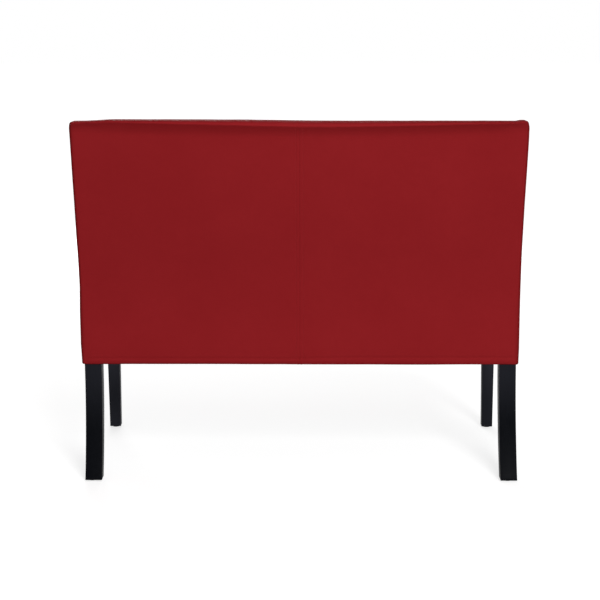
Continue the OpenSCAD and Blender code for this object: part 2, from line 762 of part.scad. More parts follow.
// The seat's upper face: columns across, rows from the back to the front edge and round it
function seat_point(st, q, drop, top_inset) =
    let (s = q/seat_run)
    [st[0], seat_rear_y - q,
     seat_h - top_inset - max(st[1], drop)
        + seat_crown*along_fill(min(1, s))*across_fill(st[0], half_w - seat_edge_r)];
function seat_rows(side_inset, top_inset, angles, along_list) =
    let (st_list = stations(seat_edge_r, side_inset, top_inset, angles))
    concat(
        [for (s = along_list) [for (st = st_list) seat_point(st, s*seat_run, 0, top_inset)]],
        [for (a = angles)
            let (out = (seat_edge_r - side_inset)*sin(a),
                 drop = (seat_edge_r - top_inset)*(1 - cos(a)))
            [for (st = st_list) seat_point(st, seat_run + out, drop, top_inset)]]
    );
// Both halves of a grid whose first column is the centre
function both_halves(rows) = [for (row = rows) concat(
    [for (k = [len(row) - 1:-1:1]) [-row[k][0], row[k][1], row[k][2]]],
    row
)];
function centre_column(grid) = (len(grid[0]) - 1)/2;
function inner_seat_rows(side_inset, top_inset, angles) =
    both_halves(seat_rows(side_inset, top_inset, angles, inner_along_shares));
module seat_foam() {
    top = inner_seat_rows(foam_side_in, foam_in, foam_edge_angles);
    color("khaki") in_frame()
        slab(top, [for (row = top) [for (p = row) [p[0], p[1], foam_z]]], centre_column(top));
}
module seat_wadding() {
    top = inner_seat_rows(pad_out, pad_out, wadding_edge_angles);
    under = inner_seat_rows(frame_in, foam_in - soft_gap, wadding_edge_angles);
    color("white") in_frame() slab(top, under, centre_column(top));
}
seam_half = soft_gap/2;
// Leaves the centre seam open by the clearance
function off_centre(rows) = [for (row = rows) [for (p = row) [max(seam_half, p[0]), p[1], p[2]]]];
module seat_cover() {
    function rows(inset) =
        off_centre(seat_rows(inset, inset, edge_angles, along_shares));
    color(leather) in_frame() slab(rows(0), rows(cover_t));
}
module seat_cover_left() {
    mirrored(true) seat_cover();
}
module seat_cover_right() {
    seat_cover();
}

// Borders of the seat box
module seat_front() {
    function rows(inset) = off_centre([for (p = border_section(inset))
        [for (st = cover_stations(inset))
            [st[0] - p[0]*sin(st[2]),
             box_front_y + inset + st[1] + p[0]*cos(st[2])
                 - front_crown*border_fill(p[1])*along_fill(0.5 + st[0]/2/(half_w - cover_edge_r)),
             p[1]]]]);
    color(leather) in_frame() slab(rows(0), rows(cover_t));
}
module seat_front_left() {
    mirrored(true) seat_front();
}
module seat_front_right() {
    seat_front();
}
// Where a side sheet takes over from a front or rear sheet that turns its upright edge
function turn_in(inset) = cover_edge_r - (cover_edge_r - inset)*sin(corner_end);
function turn_back(inset) = cover_edge_r - (cover_edge_r - inset)*cos(corner_end) + soft_gap;
side_start_y = box_front_y + cover_edge_r;
module seat_side() {
    // Below the deck the border runs on to the gusset, and above it stops at the inside back
    function end_y(z) = z < foam_z - hem_r ? -back_low_t + turn_back(0) - 2*soft_gap : seat_rear_y;
    function rows(inset) = [for (p = border_section(inset)) concat(
        [[half_w - turn_in(inset) - p[0]*sin(corner_end),
          box_front_y + turn_back(inset) + p[0]*cos(corner_end), p[1]]],
        [for (s = concat([0], border_shares))
            [half_w - inset - p[0], side_start_y + s*(end_y(p[1]) - side_start_y), p[1]]])];
    color(leather) in_frame() slab(rows(0), rows(cover_t));
}
module seat_side_left() {
    mirrored(true) seat_side();
}
module seat_side_right() {
    seat_side();
}
border_top_z = seat_h - seat_edge_r - soft_gap;
border_low_z = leg_h + hem_r;
module border_padding_front() {
    reach = half_w - cover_edge_r;
    color("white") in_frame()
        block([-reach, box_front_y + pad_out, border_low_z], [reach, leg_front_y, border_top_z]);
}
module side_padding() {
    color("white") in_frame()
        block([frame_half, side_start_y, border_low_z],
              [half_w - pad_out, seat_rear_y, border_top_z]);
}
module border_padding_left() {
    mirrored(true) side_padding();
}
module border_padding_right() {
    side_padding();
}

// Back upholstery
inner_face_levels = face_levels(inner_up_shares);
function inner_back_rows(side_inset, inset, angles) = both_halves(back_rows(
    stations(cover_edge_r, side_inset, inset, angles),
    inset, inner_face_levels, inner_roll_angles, inner_band_angles));
// Room between the foam and the frame, for the webbing and the staples' crowns
core_gap = 2*strap_t + 2*staple_t;
// Points on the frame behind the foam: up the stiles' front, then back over the top rail
function foam_core(row_count) =
    let (face_count = len(inner_face_levels), top_count = row_count - face_count,
         y0 = post_front_y(frame_top_z) - core_gap, y1 = post_rear_y(frame_top_z))
    [for (k = [0:row_count - 1])
        k < face_count
        ? let (z = min(inner_face_levels[k], frame_top_z + soft_gap))
            [post_front_y(z) - core_gap, z]
        : [y0 + (y1 - y0)*(k - face_count + 1)/top_count, frame_top_z + soft_gap]];
module back_foam() {
    outer = inner_back_rows(foam_side_in, foam_in, foam_corner_angles);
    core = foam_core(len(outer));
    inner = [for (k = [0:len(outer) - 1]) [for (p = outer[k]) [p[0], core[k][0], core[k][1]]]];
    color("khaki") in_frame() slab(outer, inner, centre_column(outer));
}
module back_wadding() {
    outer = inner_back_rows(pad_out, pad_out, corner_angles);
    inner = inner_back_rows(frame_in, foam_in - soft_gap, corner_angles);
    color("white") in_frame() slab(outer, inner, centre_column(outer));
}
module back_liner() {
    zs = concat([border_low_z], bend_levels, [frame_top_z]);
    reach = half_w - cover_edge_r;
    color("peru") in_frame()
        across(concat([for (z = zs) [bend(z) - pad_out, z]],
                      [for (k = [len(zs) - 1:-1:0]) [bend(zs[k]) - frame_rear_in, zs[k]]]),
               -reach, reach);
}
module back_padding() {
    zs = concat([border_low_z], bend_levels, [back_h - top_front_r]);
    last = len(zs) - 1;
    color("white") in_frame()
        across(concat([for (z = zs) [bend(z) - cover_edge_r - pad_out, z]],
                      [for (k = [last:-1:0]) [front_skin_y(zs[k]) + cover_edge_r + pad_out, zs[k]]]),
               frame_half, half_w - pad_out);
}
module back_padding_left() {
    mirrored(true) back_padding();
}
module back_padding_right() {
    back_padding();
}
module inside_back() {
    function rows(inset) = off_centre(back_rows(
        cover_stations(inset), inset, face_levels(up_shares), edge_angles, []));
    color(leather) in_frame() slab(rows(0), rows(cover_t));
}
module inside_back_left() {
    mirrored(true) inside_back();
}
module inside_back_right() {
    inside_back();
}
module top_band() {
    function rows(inset) =
        off_centre(back_rows(cover_stations(inset), inset, [], band_roll_angles, band_angles));
    color(leather) in_frame() slab(rows(0), rows(cover_t));
}
module top_band_left() {
    mirrored(true) top_band();
}
module top_band_right() {
    top_band();
}
module outside_back() {
    function rows(inset) = off_centre(rear_rows(cover_stations(inset), inset));
    color(leather) in_frame() slab(rows(0), rows(cover_t));
}
module outside_back_left() {
    mirrored(true) outside_back();
}
module outside_back_right() {
    outside_back();
}

// The gusset at the side of the back, from the hem to the top roll. Its first and last columns
// meet the turned edges of the inside and the outside back.
panel_levels =
    concat([leg_h + hem_r, (leg_h + bend_low_z)/2], bend_levels, straight_levels(up_shares));
module side_panel() {
    roll_z = back_h - top_front_r;
    // in is the distance behind the front's face, which rolls over at the top
    function front_y(z, in = 0) = z < roll_z ? front_skin_y(z) + in
        : front_skin_y(roll_z) + top_front_r
            - sqrt(max(0, pow(top_front_r - in, 2) - pow(z - roll_z, 2)));
    function rear_y(z) = bend(z) + flare(half_w, z);
    // The top edge runs down to the rear along the band
    function top_z(s) = back_h - cover_edge_r - s*band_drop_end;
    function columns(z, y1, inset) =
        let (y0 = front_y(z, cover_edge_r)) concat(
            [[front_y(z, turn_back(inset)), 1]],
            [for (s = [0, 0.5, 1]) [y0 + s*(y1 - y0 - cover_edge_r), 0]],
            [[y1 - turn_back(inset), -1]]);
    function edge_x(c, inset) = half_w - (c[1] == 0 ? inset : turn_in(inset));
    // The last rows reach up to the band and turn in under it, as heights above the top edge
    function top_row(rise, in, inset) =
        let (row = columns(top_z(0) + rise, rear_y(top_z(1)), inset))
        [for (k = [0:len(row) - 1])
            [min(edge_x(row[k], inset), half_w - in), row[k][0], top_z(k/(len(row) - 1)) + rise]];
    function rows(inset) = concat(
        [for (a = hem_angles)
            [for (c = columns(front_skin_y(leg_h), rear_y(leg_h), inset))
                [edge_x(c, inset) - hem_in(inset, a)*(c[1] == 0 ? 1 : sin(corner_end)),
                 c[0] + hem_in(inset, a)*c[1]*cos(corner_end),
                 leg_h + hem_r - (hem_r - inset)*sin(a)]]],
        [for (z = concat(panel_levels, [(roll_z + top_z(1))/2]))
            [for (c = columns(z, rear_y(z), inset)) [edge_x(c, inset), c[0], z]]],
        [top_row(0, inset, inset), top_row(cover_edge_r - turn_back(inset), turn_in(inset), inset)]
    );
    color(leather) in_frame() slab(rows(0), rows(cover_t));
}
module side_panel_left() {
    mirrored(true) side_panel();
}
module side_panel_right() {
    side_panel();
}

// The black cloth under the seat, notched round the legs
module dust_cover() {
    notch = soft_gap + dust_cover_t;
    rim = hem_r + cover_t;
    color("black") in_frame() translate([0, 0, rail_z - soft_gap - dust_cover_t])
        linear_extrude(dust_cover_t) difference() {
            translate([-half_w + rim, box_front_y + rim])
                square([body_w - 2*rim, seat_box_d - 2*rim]);
            for (flip = [false, true]) mirror([flip ? 1 : 0, 0]) {
                translate([front_leg_in_x - notch, leg_front_y - rim])
                    square([front_leg_w + rim + notch, front_leg_d + rim + notch]);
                translate([rear_leg_in_x - notch, rear_leg_front_y - notch])
                    square([rear_leg_w + rim + notch, rear_leg_d + rim + notch]);
            }
        }
}

rear_leg_left();
rear_leg_right();
front_leg_left();
front_leg_right();
seat_rail_front();
seat_rail_rear();
seat_rail_left();
seat_rail_right();
seat_bearer();
corner_block_front_left();
corner_block_front_right();
corner_block_rear_left();
corner_block_rear_right();
corner_screws();
frame_dowels();
back_top_rail();
back_lower_rail();
back_centre_post();
foot_glide_front_left();
foot_glide_front_right();
foot_glide_rear_left();
foot_glide_rear_right();
seat_webbing_cross();
seat_webbing_long();
back_webbing();
webbing_staples();
seat_deck_felt();
seat_foam();
seat_wadding();
back_foam();
back_wadding();
back_liner();
border_padding_front();
border_padding_left();
border_padding_right();
back_padding_left();
back_padding_right();
seat_cover_left();
seat_cover_right();
seat_front_left();
seat_front_right();
seat_side_left();
seat_side_right();
inside_back_left();
inside_back_right();
side_panel_left();
side_panel_right();
top_band_left();
top_band_right();
outside_back_left();
outside_back_right();
dust_cover();
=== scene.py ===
"""Looks of the two-seat upholstered bench with a raked back.

X runs along the width, the front faces -Y and Z is up. Lengths are in millimetres until a mesh is
made, and depths are measured from the lower part of the outside back, as in the CAD part.
"""

from math import cos, degrees, pi, radians, sin, sqrt, tan

import bmesh
import bpy
import numpy as np
from mathutils import Matrix, Vector


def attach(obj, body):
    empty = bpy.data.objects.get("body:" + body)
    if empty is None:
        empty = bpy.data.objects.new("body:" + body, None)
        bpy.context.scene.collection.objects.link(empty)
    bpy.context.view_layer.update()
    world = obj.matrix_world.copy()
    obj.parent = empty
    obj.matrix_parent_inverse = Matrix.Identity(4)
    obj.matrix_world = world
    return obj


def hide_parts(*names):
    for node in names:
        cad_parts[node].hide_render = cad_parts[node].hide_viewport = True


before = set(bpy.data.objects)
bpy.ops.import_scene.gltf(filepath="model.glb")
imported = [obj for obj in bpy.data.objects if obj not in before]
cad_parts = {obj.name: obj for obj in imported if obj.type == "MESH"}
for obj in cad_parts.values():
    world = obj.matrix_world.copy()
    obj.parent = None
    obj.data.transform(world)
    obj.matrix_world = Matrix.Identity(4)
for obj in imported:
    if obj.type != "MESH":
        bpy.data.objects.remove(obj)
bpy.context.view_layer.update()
scene = bpy.context.scene

# ---- sizes, as in the CAD part
HALF_W = 590
SEAT_BOX_D = 520
LEG_H = 311
SEAT_H = 478
BACK_H = 975
BEND_Z = 520
BEND_LEN = 200
RAKE_SLOPE = tan(radians(12.75))
BACK_LOW_T = 82
BACK_TOP_T = 62
BACK_CROWN = 12
TOP_FRONT_R = 22
BAND_ROLL = 30
BAND_DROP_MID = 16
BAND_DROP_END = 5
SEAM_FLARE = 3
FLARE_H = 26
SEAT_CROWN = 16
SEAT_EDGE_R = 16
FRONT_CROWN = 4
COVER_T = 1.2
SOFT_GAP = 0.3
COVER_EDGE_R = 8
HEM_R = 4
FOAM_Z = 407.2
PAD_OUT = 1.5
FRAME_HALF = 584.7
FRAME_TOP_Z = 945
DECK_Z = 402.5
GLIDE_T = 3
POST_IN = 4.1
POST_LOW_D = 45
POST_TOP_D = 30
LEG_SWEEP = 64
LEG_TAPER = 8
REAR_LEG_W = 43
FRONT_LEG_W = 33
FRONT_LEG_D = 34
FRONT_LEG_IN = 5.3
FRONT_FOOT_W = 29.5
FRONT_FOOT_D = 30
FRONT_FOOT_IN = 2.8

BEND_LOW_Z = BEND_Z - BEND_LEN / 2
BEND_HIGH_Z = BEND_Z + BEND_LEN / 2
ROLL_Z = BACK_H - TOP_FRONT_R
SEAT_REAR_Y = -BACK_LOW_T - SOFT_GAP
SEAT_RUN = SEAT_BOX_D + SEAT_REAR_Y - SEAT_EDGE_R
# Where the turned edges, the rolls and the hems end, in degrees round them
CORNER_END = 60
EDGE_END = 50
HEM_END = 75
# The two halves of a cover stop this far from the middle
SEAM_HALF = 0.03
# How far the sewn edges reach in behind their seams
ALLOWANCE = 3.5
# The side sheets take over from the turned edges after the gap, as an angle round the edge
SIDE_START = CORNER_END + degrees(SOFT_GAP / COVER_EDGE_R)

# ---- shape functions
def bend(z):
    """Depth of the outside back at a height."""
    curved = RAKE_SLOPE * (z - BEND_LOW_Z) ** 2 / (2 * BEND_LEN)
    return np.where(z < BEND_LOW_Z, 0, np.where(z > BEND_HIGH_Z, RAKE_SLOPE * (z - BEND_Z), curved))


def seam_z(x):
    """Height of the seam under the top band."""
    arch = np.maximum(0, 1 - (x / HALF_W) ** 2)
    return BACK_H - BAND_DROP_END - (BAND_DROP_MID - BAND_DROP_END) * arch


def flare(x, z):
    """How far the outside back swells out to meet the band."""
    return SEAM_FLARE * np.clip(1 - (seam_z(x) - z) / FLARE_H, 0, 1) ** 2


def band_y(x):
    return bend(seam_z(x)) + flare(x, seam_z(x))


def front_skin_y(z):
    share = np.maximum(0, z - SEAT_H) / (BACK_H - SEAT_H)
    return bend(z) - BACK_LOW_T + (BACK_LOW_T - BACK_TOP_T) * share


def across_fill(x, half):
    """How full a cushion is along its width, from its centre seam to its end."""
    u = 2 * x / half - 1
    return np.where(u < 0, 1 - 0.55 * np.abs(u) ** 8, np.maximum(0, 1 - u**4))


def along_fill(s):
    return np.maximum(0, 1 - np.abs(2 * s - 1) ** 4)


def post_rear_y(z):
    return bend(z) - POST_IN + LEG_SWEEP * (np.maximum(0, LEG_H - z) / LEG_H) ** 2


def post_front_y(z):
    depth = np.interp(z, [BEND_LOW_Z, FRAME_TOP_Z], [POST_LOW_D, POST_TOP_D])
    return post_rear_y(z) - depth + LEG_TAPER * np.maximum(0, LEG_H - z) / LEG_H


rearmost_y = max(float(band_y(0)), float(band_y(HALF_W - COVER_EDGE_R)))
ORIGIN_Y = (SEAT_BOX_D + FRONT_CROWN - rearmost_y) / 2


def between(low, high, share):
    return low + share * (high - low)


def bell(value):
    return np.exp(-(value**2))


def ramp(value, low, high):
    """0 at low, 1 at high, level beyond them and a smooth rise between."""
    t = np.clip((value - low) / (high - low), 0, 1)
    return t * t * (3 - 2 * t)


def soft_noise(points, size, seed):
    """Smooth noise from -1 to 1 over points, with bumps about size apart, the same on every run."""
    place = np.asarray(points, float) / size
    cell = np.floor(place).astype(np.int64)
    part = place - cell
    ease = part**3 * (part * (6 * part - 15) + 10)
    total = 0.0
    for corner in range(8):
        step = [(corner >> axis) & 1 for axis in range(3)]
        key = seed * 374761393
        weight = 1.0
        for axis, prime in enumerate((73856093, 19349663, 83492791)):
            key = key ^ ((cell[..., axis] + step[axis]) * prime)
            weight = weight * (ease[..., axis] if step[axis] else 1 - ease[..., axis])
        key = (key & 0xFFFFFFFF) * 1274126177 & 0xFFFFFFFF
        key = ((key ^ (key >> 15)) * 2246822519) & 0xFFFFFFFF
        total = total + weight * ((key ^ (key >> 13)) / 2147483648.0 - 1)
    return total


# How the finished covers sit off their ideal shape, as places and what is added there: the lift of
# the crest and of the hem across the width, how far each side bulges out at heights, and the lift of
# the seam under the band by distance from the middle
CREST_LIFT = (
    (-590, -460, -310, -155, -50, 0, 50, 155, 256, 360, 490, 590),
    (-2.6, -2.5, -2.35, -2.2, -1.75, -1.4, -0.5, 0.8, 1.3, 1.7, 1.8, 1.9),
)
HEM_LIFT = (
    (-590, -390, -230, -80, 80, 230, 390, 512, 590),
    (-0.2, -0.35, -0.2, -0.35, 0.1, 0.7, 0.3, 0.2, 0.2),
)
RIGHT_BULGE = (
    (311, 330, 345, 366, 453, 486, 531, 620, 660, 754, 820, 889, 955),
    (0.1, 0.8, 1.5, 2.5, 2.7, 1.8, 0.4, 0.8, 1.25, 1.35, 1.8, 1.9, 2.1),
)
LEFT_BULGE = (
    (311, 330, 352, 442, 486, 531, 620, 754, 820, 889, 922, 955),
    (1.8, 2.1, 2.6, 2.1, 1.75, 1.35, 0.1, -0.05, 0.65, 1.05, 1.2, 0.6),
)
SEAM_LIFT = ((0, 120, 260, 460, 540, 590), (2.6, 2.8, 3.8, 4.2, 3.6, 2.0))
LOW_CORNER, HIGH_CORNER = 4.1, 2.3
RIGHT_CORNER_IN, LEFT_CORNER_IN = 2.4, 3.6
BAND_OVERHANG = 5.2


def settle(points):
    """Moves points of the covers to where sewing and filling have left them: a crest that runs a
    little uneven, one low and one high top corner, a hem that is drawn up, and a band that is
    fuller than the panel below it."""
    p = np.array(points, float)
    x, y, z = (p[..., axis].copy() for axis in range(3))
    width = np.minimum(np.abs(x), HALF_W)
    corners = HIGH_CORNER * ramp(-x, 557, 571) - LOW_CORNER * ramp(x, 478, 560)
    p[..., 2] += ramp(z, 880, 965) * (corners + np.interp(x, *CREST_LIFT))
    p[..., 2] += np.interp(x, *HEM_LIFT) * (1 - ramp(z, LEG_H, 420))
    bulge = np.where(x > 0, np.interp(z, *RIGHT_BULGE), np.interp(z, *LEFT_BULGE))
    corner_in = np.where(x > 0, RIGHT_CORNER_IN, LEFT_CORNER_IN)
    bulge -= corner_in * ramp(z, 955, 972) * ramp(np.abs(x), 565, HALF_W)
    p[..., 0] += bulge * np.sign(x) * np.clip(np.abs(x) / HALF_W, 0, 1) ** 4
    below = seam_z(width) - z
    behind = y - band_y(width)
    overhang = BAND_OVERHANG * (1 - 0.7 * ramp(width, 500, HALF_W))
    p[..., 1] += overhang * np.clip(1 - below / 34, 0, 1) ** 2 * ramp(behind, -BAND_ROLL, -2)
    p[..., 2] += np.interp(width, *SEAM_LIFT) * bell(below / 14) * ramp(behind, -BAND_ROLL, -4)
    return p


# ---- meshes
def link(name, data):
    obj = bpy.data.objects.new(name, data)
    scene.collection.objects.link(obj)
    return obj


def to_object(name, points, faces, sharp=None):
    """A mesh object from points in millimetres, measured from the outside back."""
    mesh = bpy.data.meshes.new(name)
    mesh.from_pydata((np.asarray(points, float) + (0, ORIGIN_Y, 0)) * 0.001, [], faces)
    mesh.validate()
    mesh.shade_smooth()
    if sharp:
        mesh.set_sharp_from_angle(angle=radians(sharp))
    return link(name, mesh)


def read_points(vertices, key="co"):
    values = np.zeros(len(vertices) * 3)
    vertices.foreach_get(key, values)
    return values.reshape(-1, 3)


def set_attribute(obj, key, values):
    data = obj.data.attributes.new(key, "FLOAT", "POINT").data
    data.foreach_set("value", np.array(values, np.float32))


def finish_piece(obj, finish, slot, *nodes):
    obj.data.materials.clear()
    obj.data.materials.append(finish)
    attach(obj, "root")
    if nodes:
        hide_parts(*nodes)
    return obj


def grid_quads(rows, cols, start, flip):
    i, j = np.meshgrid(np.arange(rows - 1), np.arange(cols - 1), indexing="ij")
    a = (start + i * cols + j).ravel()
    quads = np.stack([a, a + 1, a + cols + 1, a + cols], axis=1)
    return quads[:, ::-1] if flip else quads


def normals(grid):
    across = np.gradient(grid, axis=1)
    along = np.gradient(grid, axis=0)
    n = np.cross(across, along)
    return n / np.maximum(np.linalg.norm(n, axis=2, keepdims=True), 1e-9)


def faces_away(n, out):
    """Whether the normal in the middle of a grid points against a direction."""
    return np.sum(n[n.shape[0] // 2, n.shape[1] // 2] * out) < 0


def run_lengths(grid, axis):
    """Length along the grid's lines from their start, and what is left to their end."""
    steps = np.linalg.norm(np.diff(grid, axis=axis), axis=2)
    zero = np.zeros_like(np.take(steps, [0], axis=axis))
    run = np.concatenate([zero, np.cumsum(steps, axis=axis)], axis=axis)
    return run, np.take(run, [-1], axis=axis) - run


# How far a sewn edge's allowance leans toward its neighbour's, at most seams and in the middle
SEWN_LEAN, MIDDLE_LEAN = 0.25, 0.04
# The lean's direction is taken from the line this many lines further in
LEAN_LINES = 8
# How wide the edges roll into their seams
EDGE_ROLL = 1.4


def with_allowance(grid, n, sides, rear_lean):
    """The grid with a line added past each sewn edge, in behind it and over to its neighbour's."""
    for side, axis, at in ((0, 0, 0), (1, 0, -1), (2, 1, 0), (3, 1, -1)):
        if sides[side] > 0:
            edge, edge_n = np.take(grid, [at], axis=axis), np.take(n, [at], axis=axis)
            away = edge - np.take(grid, [at + (-LEAN_LINES if at else LEAN_LINES)], axis=axis)
            away -= edge_n * np.sum(away * edge_n, axis=2, keepdims=True)
            away /= np.linalg.norm(away, axis=2, keepdims=True)
            lean = rear_lean if side == 3 else SEWN_LEAN
            lean = np.where(np.abs(edge[..., :1]) < 1, MIDDLE_LEAN, lean)
            line = edge - edge_n * ALLOWANCE + away * lean
            grid = np.concatenate([line, grid] if at == 0 else [grid, line], axis=axis)
            n = np.concatenate([edge_n, n] if at == 0 else [n, edge_n], axis=axis)
    return grid


def sheet_object(name, grid, out, detail, curl, thick=COVER_T, flip=False, rear_lean=SEWN_LEAN):
    """A sheet from a grid of points on its outer face. Its edges roll into their seams where curl,
    as (first row, last row, first column, last column), is above 0, and end in an allowance."""
    grid = np.array(grid, float)
    if flip:
        grid[..., 0] *= -1
    n = normals(grid)
    turned = faces_away(n, out)
    n = -n if turned else n
    # No tilt beside the middle, so that the two halves meet squarely at their seam
    n[..., 0] *= ramp(np.abs(grid[..., 0]), 0, 24)
    n /= np.linalg.norm(n, axis=2, keepdims=True)
    push = detail(grid, n)
    for distance, amount in zip((*run_lengths(grid, 0), *run_lengths(grid, 1)), curl):
        inside = np.clip(EDGE_ROLL - distance, 0, EDGE_ROLL)
        push = push - amount * (EDGE_ROLL - np.sqrt(EDGE_ROLL**2 - inside**2))
    outer = settle(with_allowance(grid + n * push[..., None], n, curl, rear_lean))
    n = normals(outer) * (-1 if turned else 1)
    inner = outer - n * thick
    rows, cols = outer.shape[:2]
    count = rows * cols
    ids = np.arange(count).reshape(rows, cols)
    ring = np.concatenate([ids[0], ids[1:, -1], ids[-1, -2::-1], ids[-2:0:-1, 0]])
    after = np.roll(ring, -1)
    rim = np.stack([ring, ring + count, after + count, after], axis=1)
    faces = np.concatenate([
        grid_quads(rows, cols, 0, turned),
        grid_quads(rows, cols, count, not turned),
        rim[:, ::-1] if turned else rim,
    ])
    points = np.concatenate([outer.reshape(-1, 3), inner.reshape(-1, 3)])
    return to_object(name, points, faces.tolist(), sharp=55), outer, n


def spaced(low, high, step, fine=(0, 0)):
    """Places from low to high about a step apart, closer together near the ends marked as fine."""
    near = np.array([0, 0.12, 0.35, 0.7, 1.05, 1.4, 2.2, 3.4])
    start = low + near if fine[0] else np.array([low])
    end = high - near[::-1] if fine[1] else np.array([high])
    count = max(2, int(round((end[0] - start[-1]) / step)))
    return np.concatenate([start, np.linspace(start[-1], end[0], count + 1)[1:-1], end])


def turned_columns(flat, radius, arc):
    """Stations at flat places and then round an upright edge: [x, set-back, angle]."""
    turned = [HALF_W - radius + radius * np.sin(arc), radius * (1 - np.cos(arc)), arc]
    return np.concatenate([np.stack([flat, 0 * flat, 0 * flat], axis=1), np.stack(turned, axis=1)])


def edge_columns(flat, radius, end, step):
    arc = spaced(0, radians(end) * radius, step, (0, 1))[1:] / radius
    return turned_columns(flat, radius, arc)


# Places across half the width, with a finely divided strip beside the centre seam
beside_seam = SEAM_HALF + np.array([
    0, 0.12, 0.35, 0.7, 1.05, 1.4, 2.2, 3.2, 4.2, 5.2, 6.2, 7.2, 8.2, 8.8, 9.4, 10, 10.8, 12, 14, 17,
])
flat_x = np.concatenate([beside_seam, spaced(22, HALF_W - COVER_EDGE_R, 5.5)])
cover_cols = edge_columns(flat_x, COVER_EDGE_R, CORNER_END, 1.0)


def topstitch(x, line=9.5):
    """Relief beside a centre seam: the allowance under it lifts the leather and the thread pulls a
    line beside it down."""
    d = np.abs(x)
    return 0.55 * bell((d - 4.8) / 2.6) - 0.5 * bell((d - line) / 0.9)


def hem_turn():
    """Round the hem from the face inward: (distance in from the face, height)."""
    arc = spaced(0, radians(HEM_END) * HEM_R, 0.8)[1:] / HEM_R
    return [(HEM_R * (1 - cos(a)), LEG_H + HEM_R * (1 - sin(a))) for a in arc]


def outside_back_grid():
    x, back, turn = cover_cols.T
    rows = []
    for tuck, z in reversed(hem_turn()):
        rows.append([x - tuck * np.sin(turn), -back - tuck * np.cos(turn), 0 * x + z])
    upper = 925
    flat = np.concatenate([spaced(LEG_H + HEM_R, 345, 2.5)[:-1], spaced(345, upper, 6.5)])
    levels = [0 * x + z for z in flat]
    for share in (spaced(0, 35, 2.5, (0, 1)) / 35)[1:]:
        levels.append(between(upper, seam_z(x) - SOFT_GAP, share))
    rows += [[x, bend(z) + flare(x, z) - back, z] for z in levels]
    return np.array(rows).transpose(0, 2, 1)


def outside_back_detail(grid, n):
    x, z = grid[..., 0], grid[..., 2]
    width = np.abs(x)
    # The hem swells out above its fold and has a pressed line
    fold = 1 - np.clip((327 - z) / 16, 0, 1) ** 2
    crease = 331 - 3 * ramp(x, -150, 60)
    hem = 2.8 * fold * (1 - ramp(z, 327, 430)) - 1.2 * bell((z - crease) / 3.2)
    pull = 0.3 * soft_noise(grid * (1, 0, 0.18), 27, 3) * np.exp(-(seam_z(width) - z) / 26)
    beside = np.abs(width - 545)
    dimple = bell(beside / 26) * bell((z - 962 + 0.25 * beside) / 7)
    soft = 0.35 * soft_noise(grid, 150, 5) + 0.12 * soft_noise(grid, 46, 8)
    relief = 0.55 * topstitch(x) + hem + pull + soft * ramp(width, 12, 60)
    return relief * ramp(HALF_W - width, 2, 30) - dimple


def roll_rows(x, back, angles):
    """Rows at angles round the roll along the top."""
    y0 = front_skin_y(ROLL_Z) + TOP_FRONT_R
    r = TOP_FRONT_R - back
    return [[x, y0 - r * np.cos(a), ROLL_Z + r * np.sin(a)] for a in angles]


def top_band_grid():
    x, back, _ = cover_cols.T
    first_arc = radians(EDGE_END) * TOP_FRONT_R + SOFT_GAP
    arc = spaced(first_arc, pi / 2 * TOP_FRONT_R, 1.8, (1, 0)) / TOP_FRONT_R
    rows = roll_rows(x, back, arc)
    drop = BACK_H - seam_z(x)
    roll_end = band_y(x) - BAND_ROLL
    start = front_skin_y(ROLL_Z) + TOP_FRONT_R
    for t in (0.25, 0.5, 0.75):
        rows.append([x, between(start, roll_end, t), 0 * x + BACK_H - back])
    for t in spaced(0, 36, 1.8, (0, 1)) / 36 * pi / 2:
        c, s = cos(t), sin(t)
        y = band_y(x) - BAND_ROLL * (1 - s) - back * s
        rows.append([x, y, BACK_H - back * c - drop * (1 - c)])
    return np.array(rows).transpose(0, 2, 1)


def top_band_detail(grid, n):
    x = np.abs(grid[..., 0])
    edge = ramp(HALF_W - x, 2, 30)
    ripple = 0.35 * soft_noise(grid * (1, 0.2, 0.2), 34, 11) + 0.5 * soft_noise(grid, 120, 12)
    return (0.6 * ripple + 0.3 * topstitch(x) * np.clip(n[..., 2], 0, 1)) * edge


def inside_back_surface(cols, heights, angles):
    """The inside back at heights on its face and then at angles round the roll along its top."""
    x, back, _ = cols.T
    rows = []
    for z in heights:
        share = max(0, (z - SEAT_H) / (ROLL_Z - SEAT_H))
        crown = BACK_CROWN * along_fill(share) * across_fill(x, HALF_W)
        rows.append([x, front_skin_y(z) + back - crown, 0 * x + z])
    return np.array(rows + roll_rows(x, back, angles)).transpose(0, 2, 1)


def seat_surface(cols, distances, angles):
    """The seat at distances from its rear edge and then at angles round its front edge."""
    x, back, _ = cols.T
    stations = [(q, 0) for q in distances]
    stations += [
        (SEAT_RUN + SEAT_EDGE_R * sin(a), SEAT_EDGE_R * (1 - cos(a))) for a in angles
    ]
    rows = []
    for q, drop in stations:
        crown = SEAT_CROWN * along_fill(min(1, q / SEAT_RUN)) * across_fill(x, HALF_W - SEAT_EDGE_R)
        fall = (back**3 + drop**3) ** (1 / 3)
        rows.append([x, SEAT_REAR_Y - q + 0 * x, SEAT_H - fall + crown])
    return np.array(rows).transpose(0, 2, 1)


# ---- cloth
CLOTH_FRAMES = 26


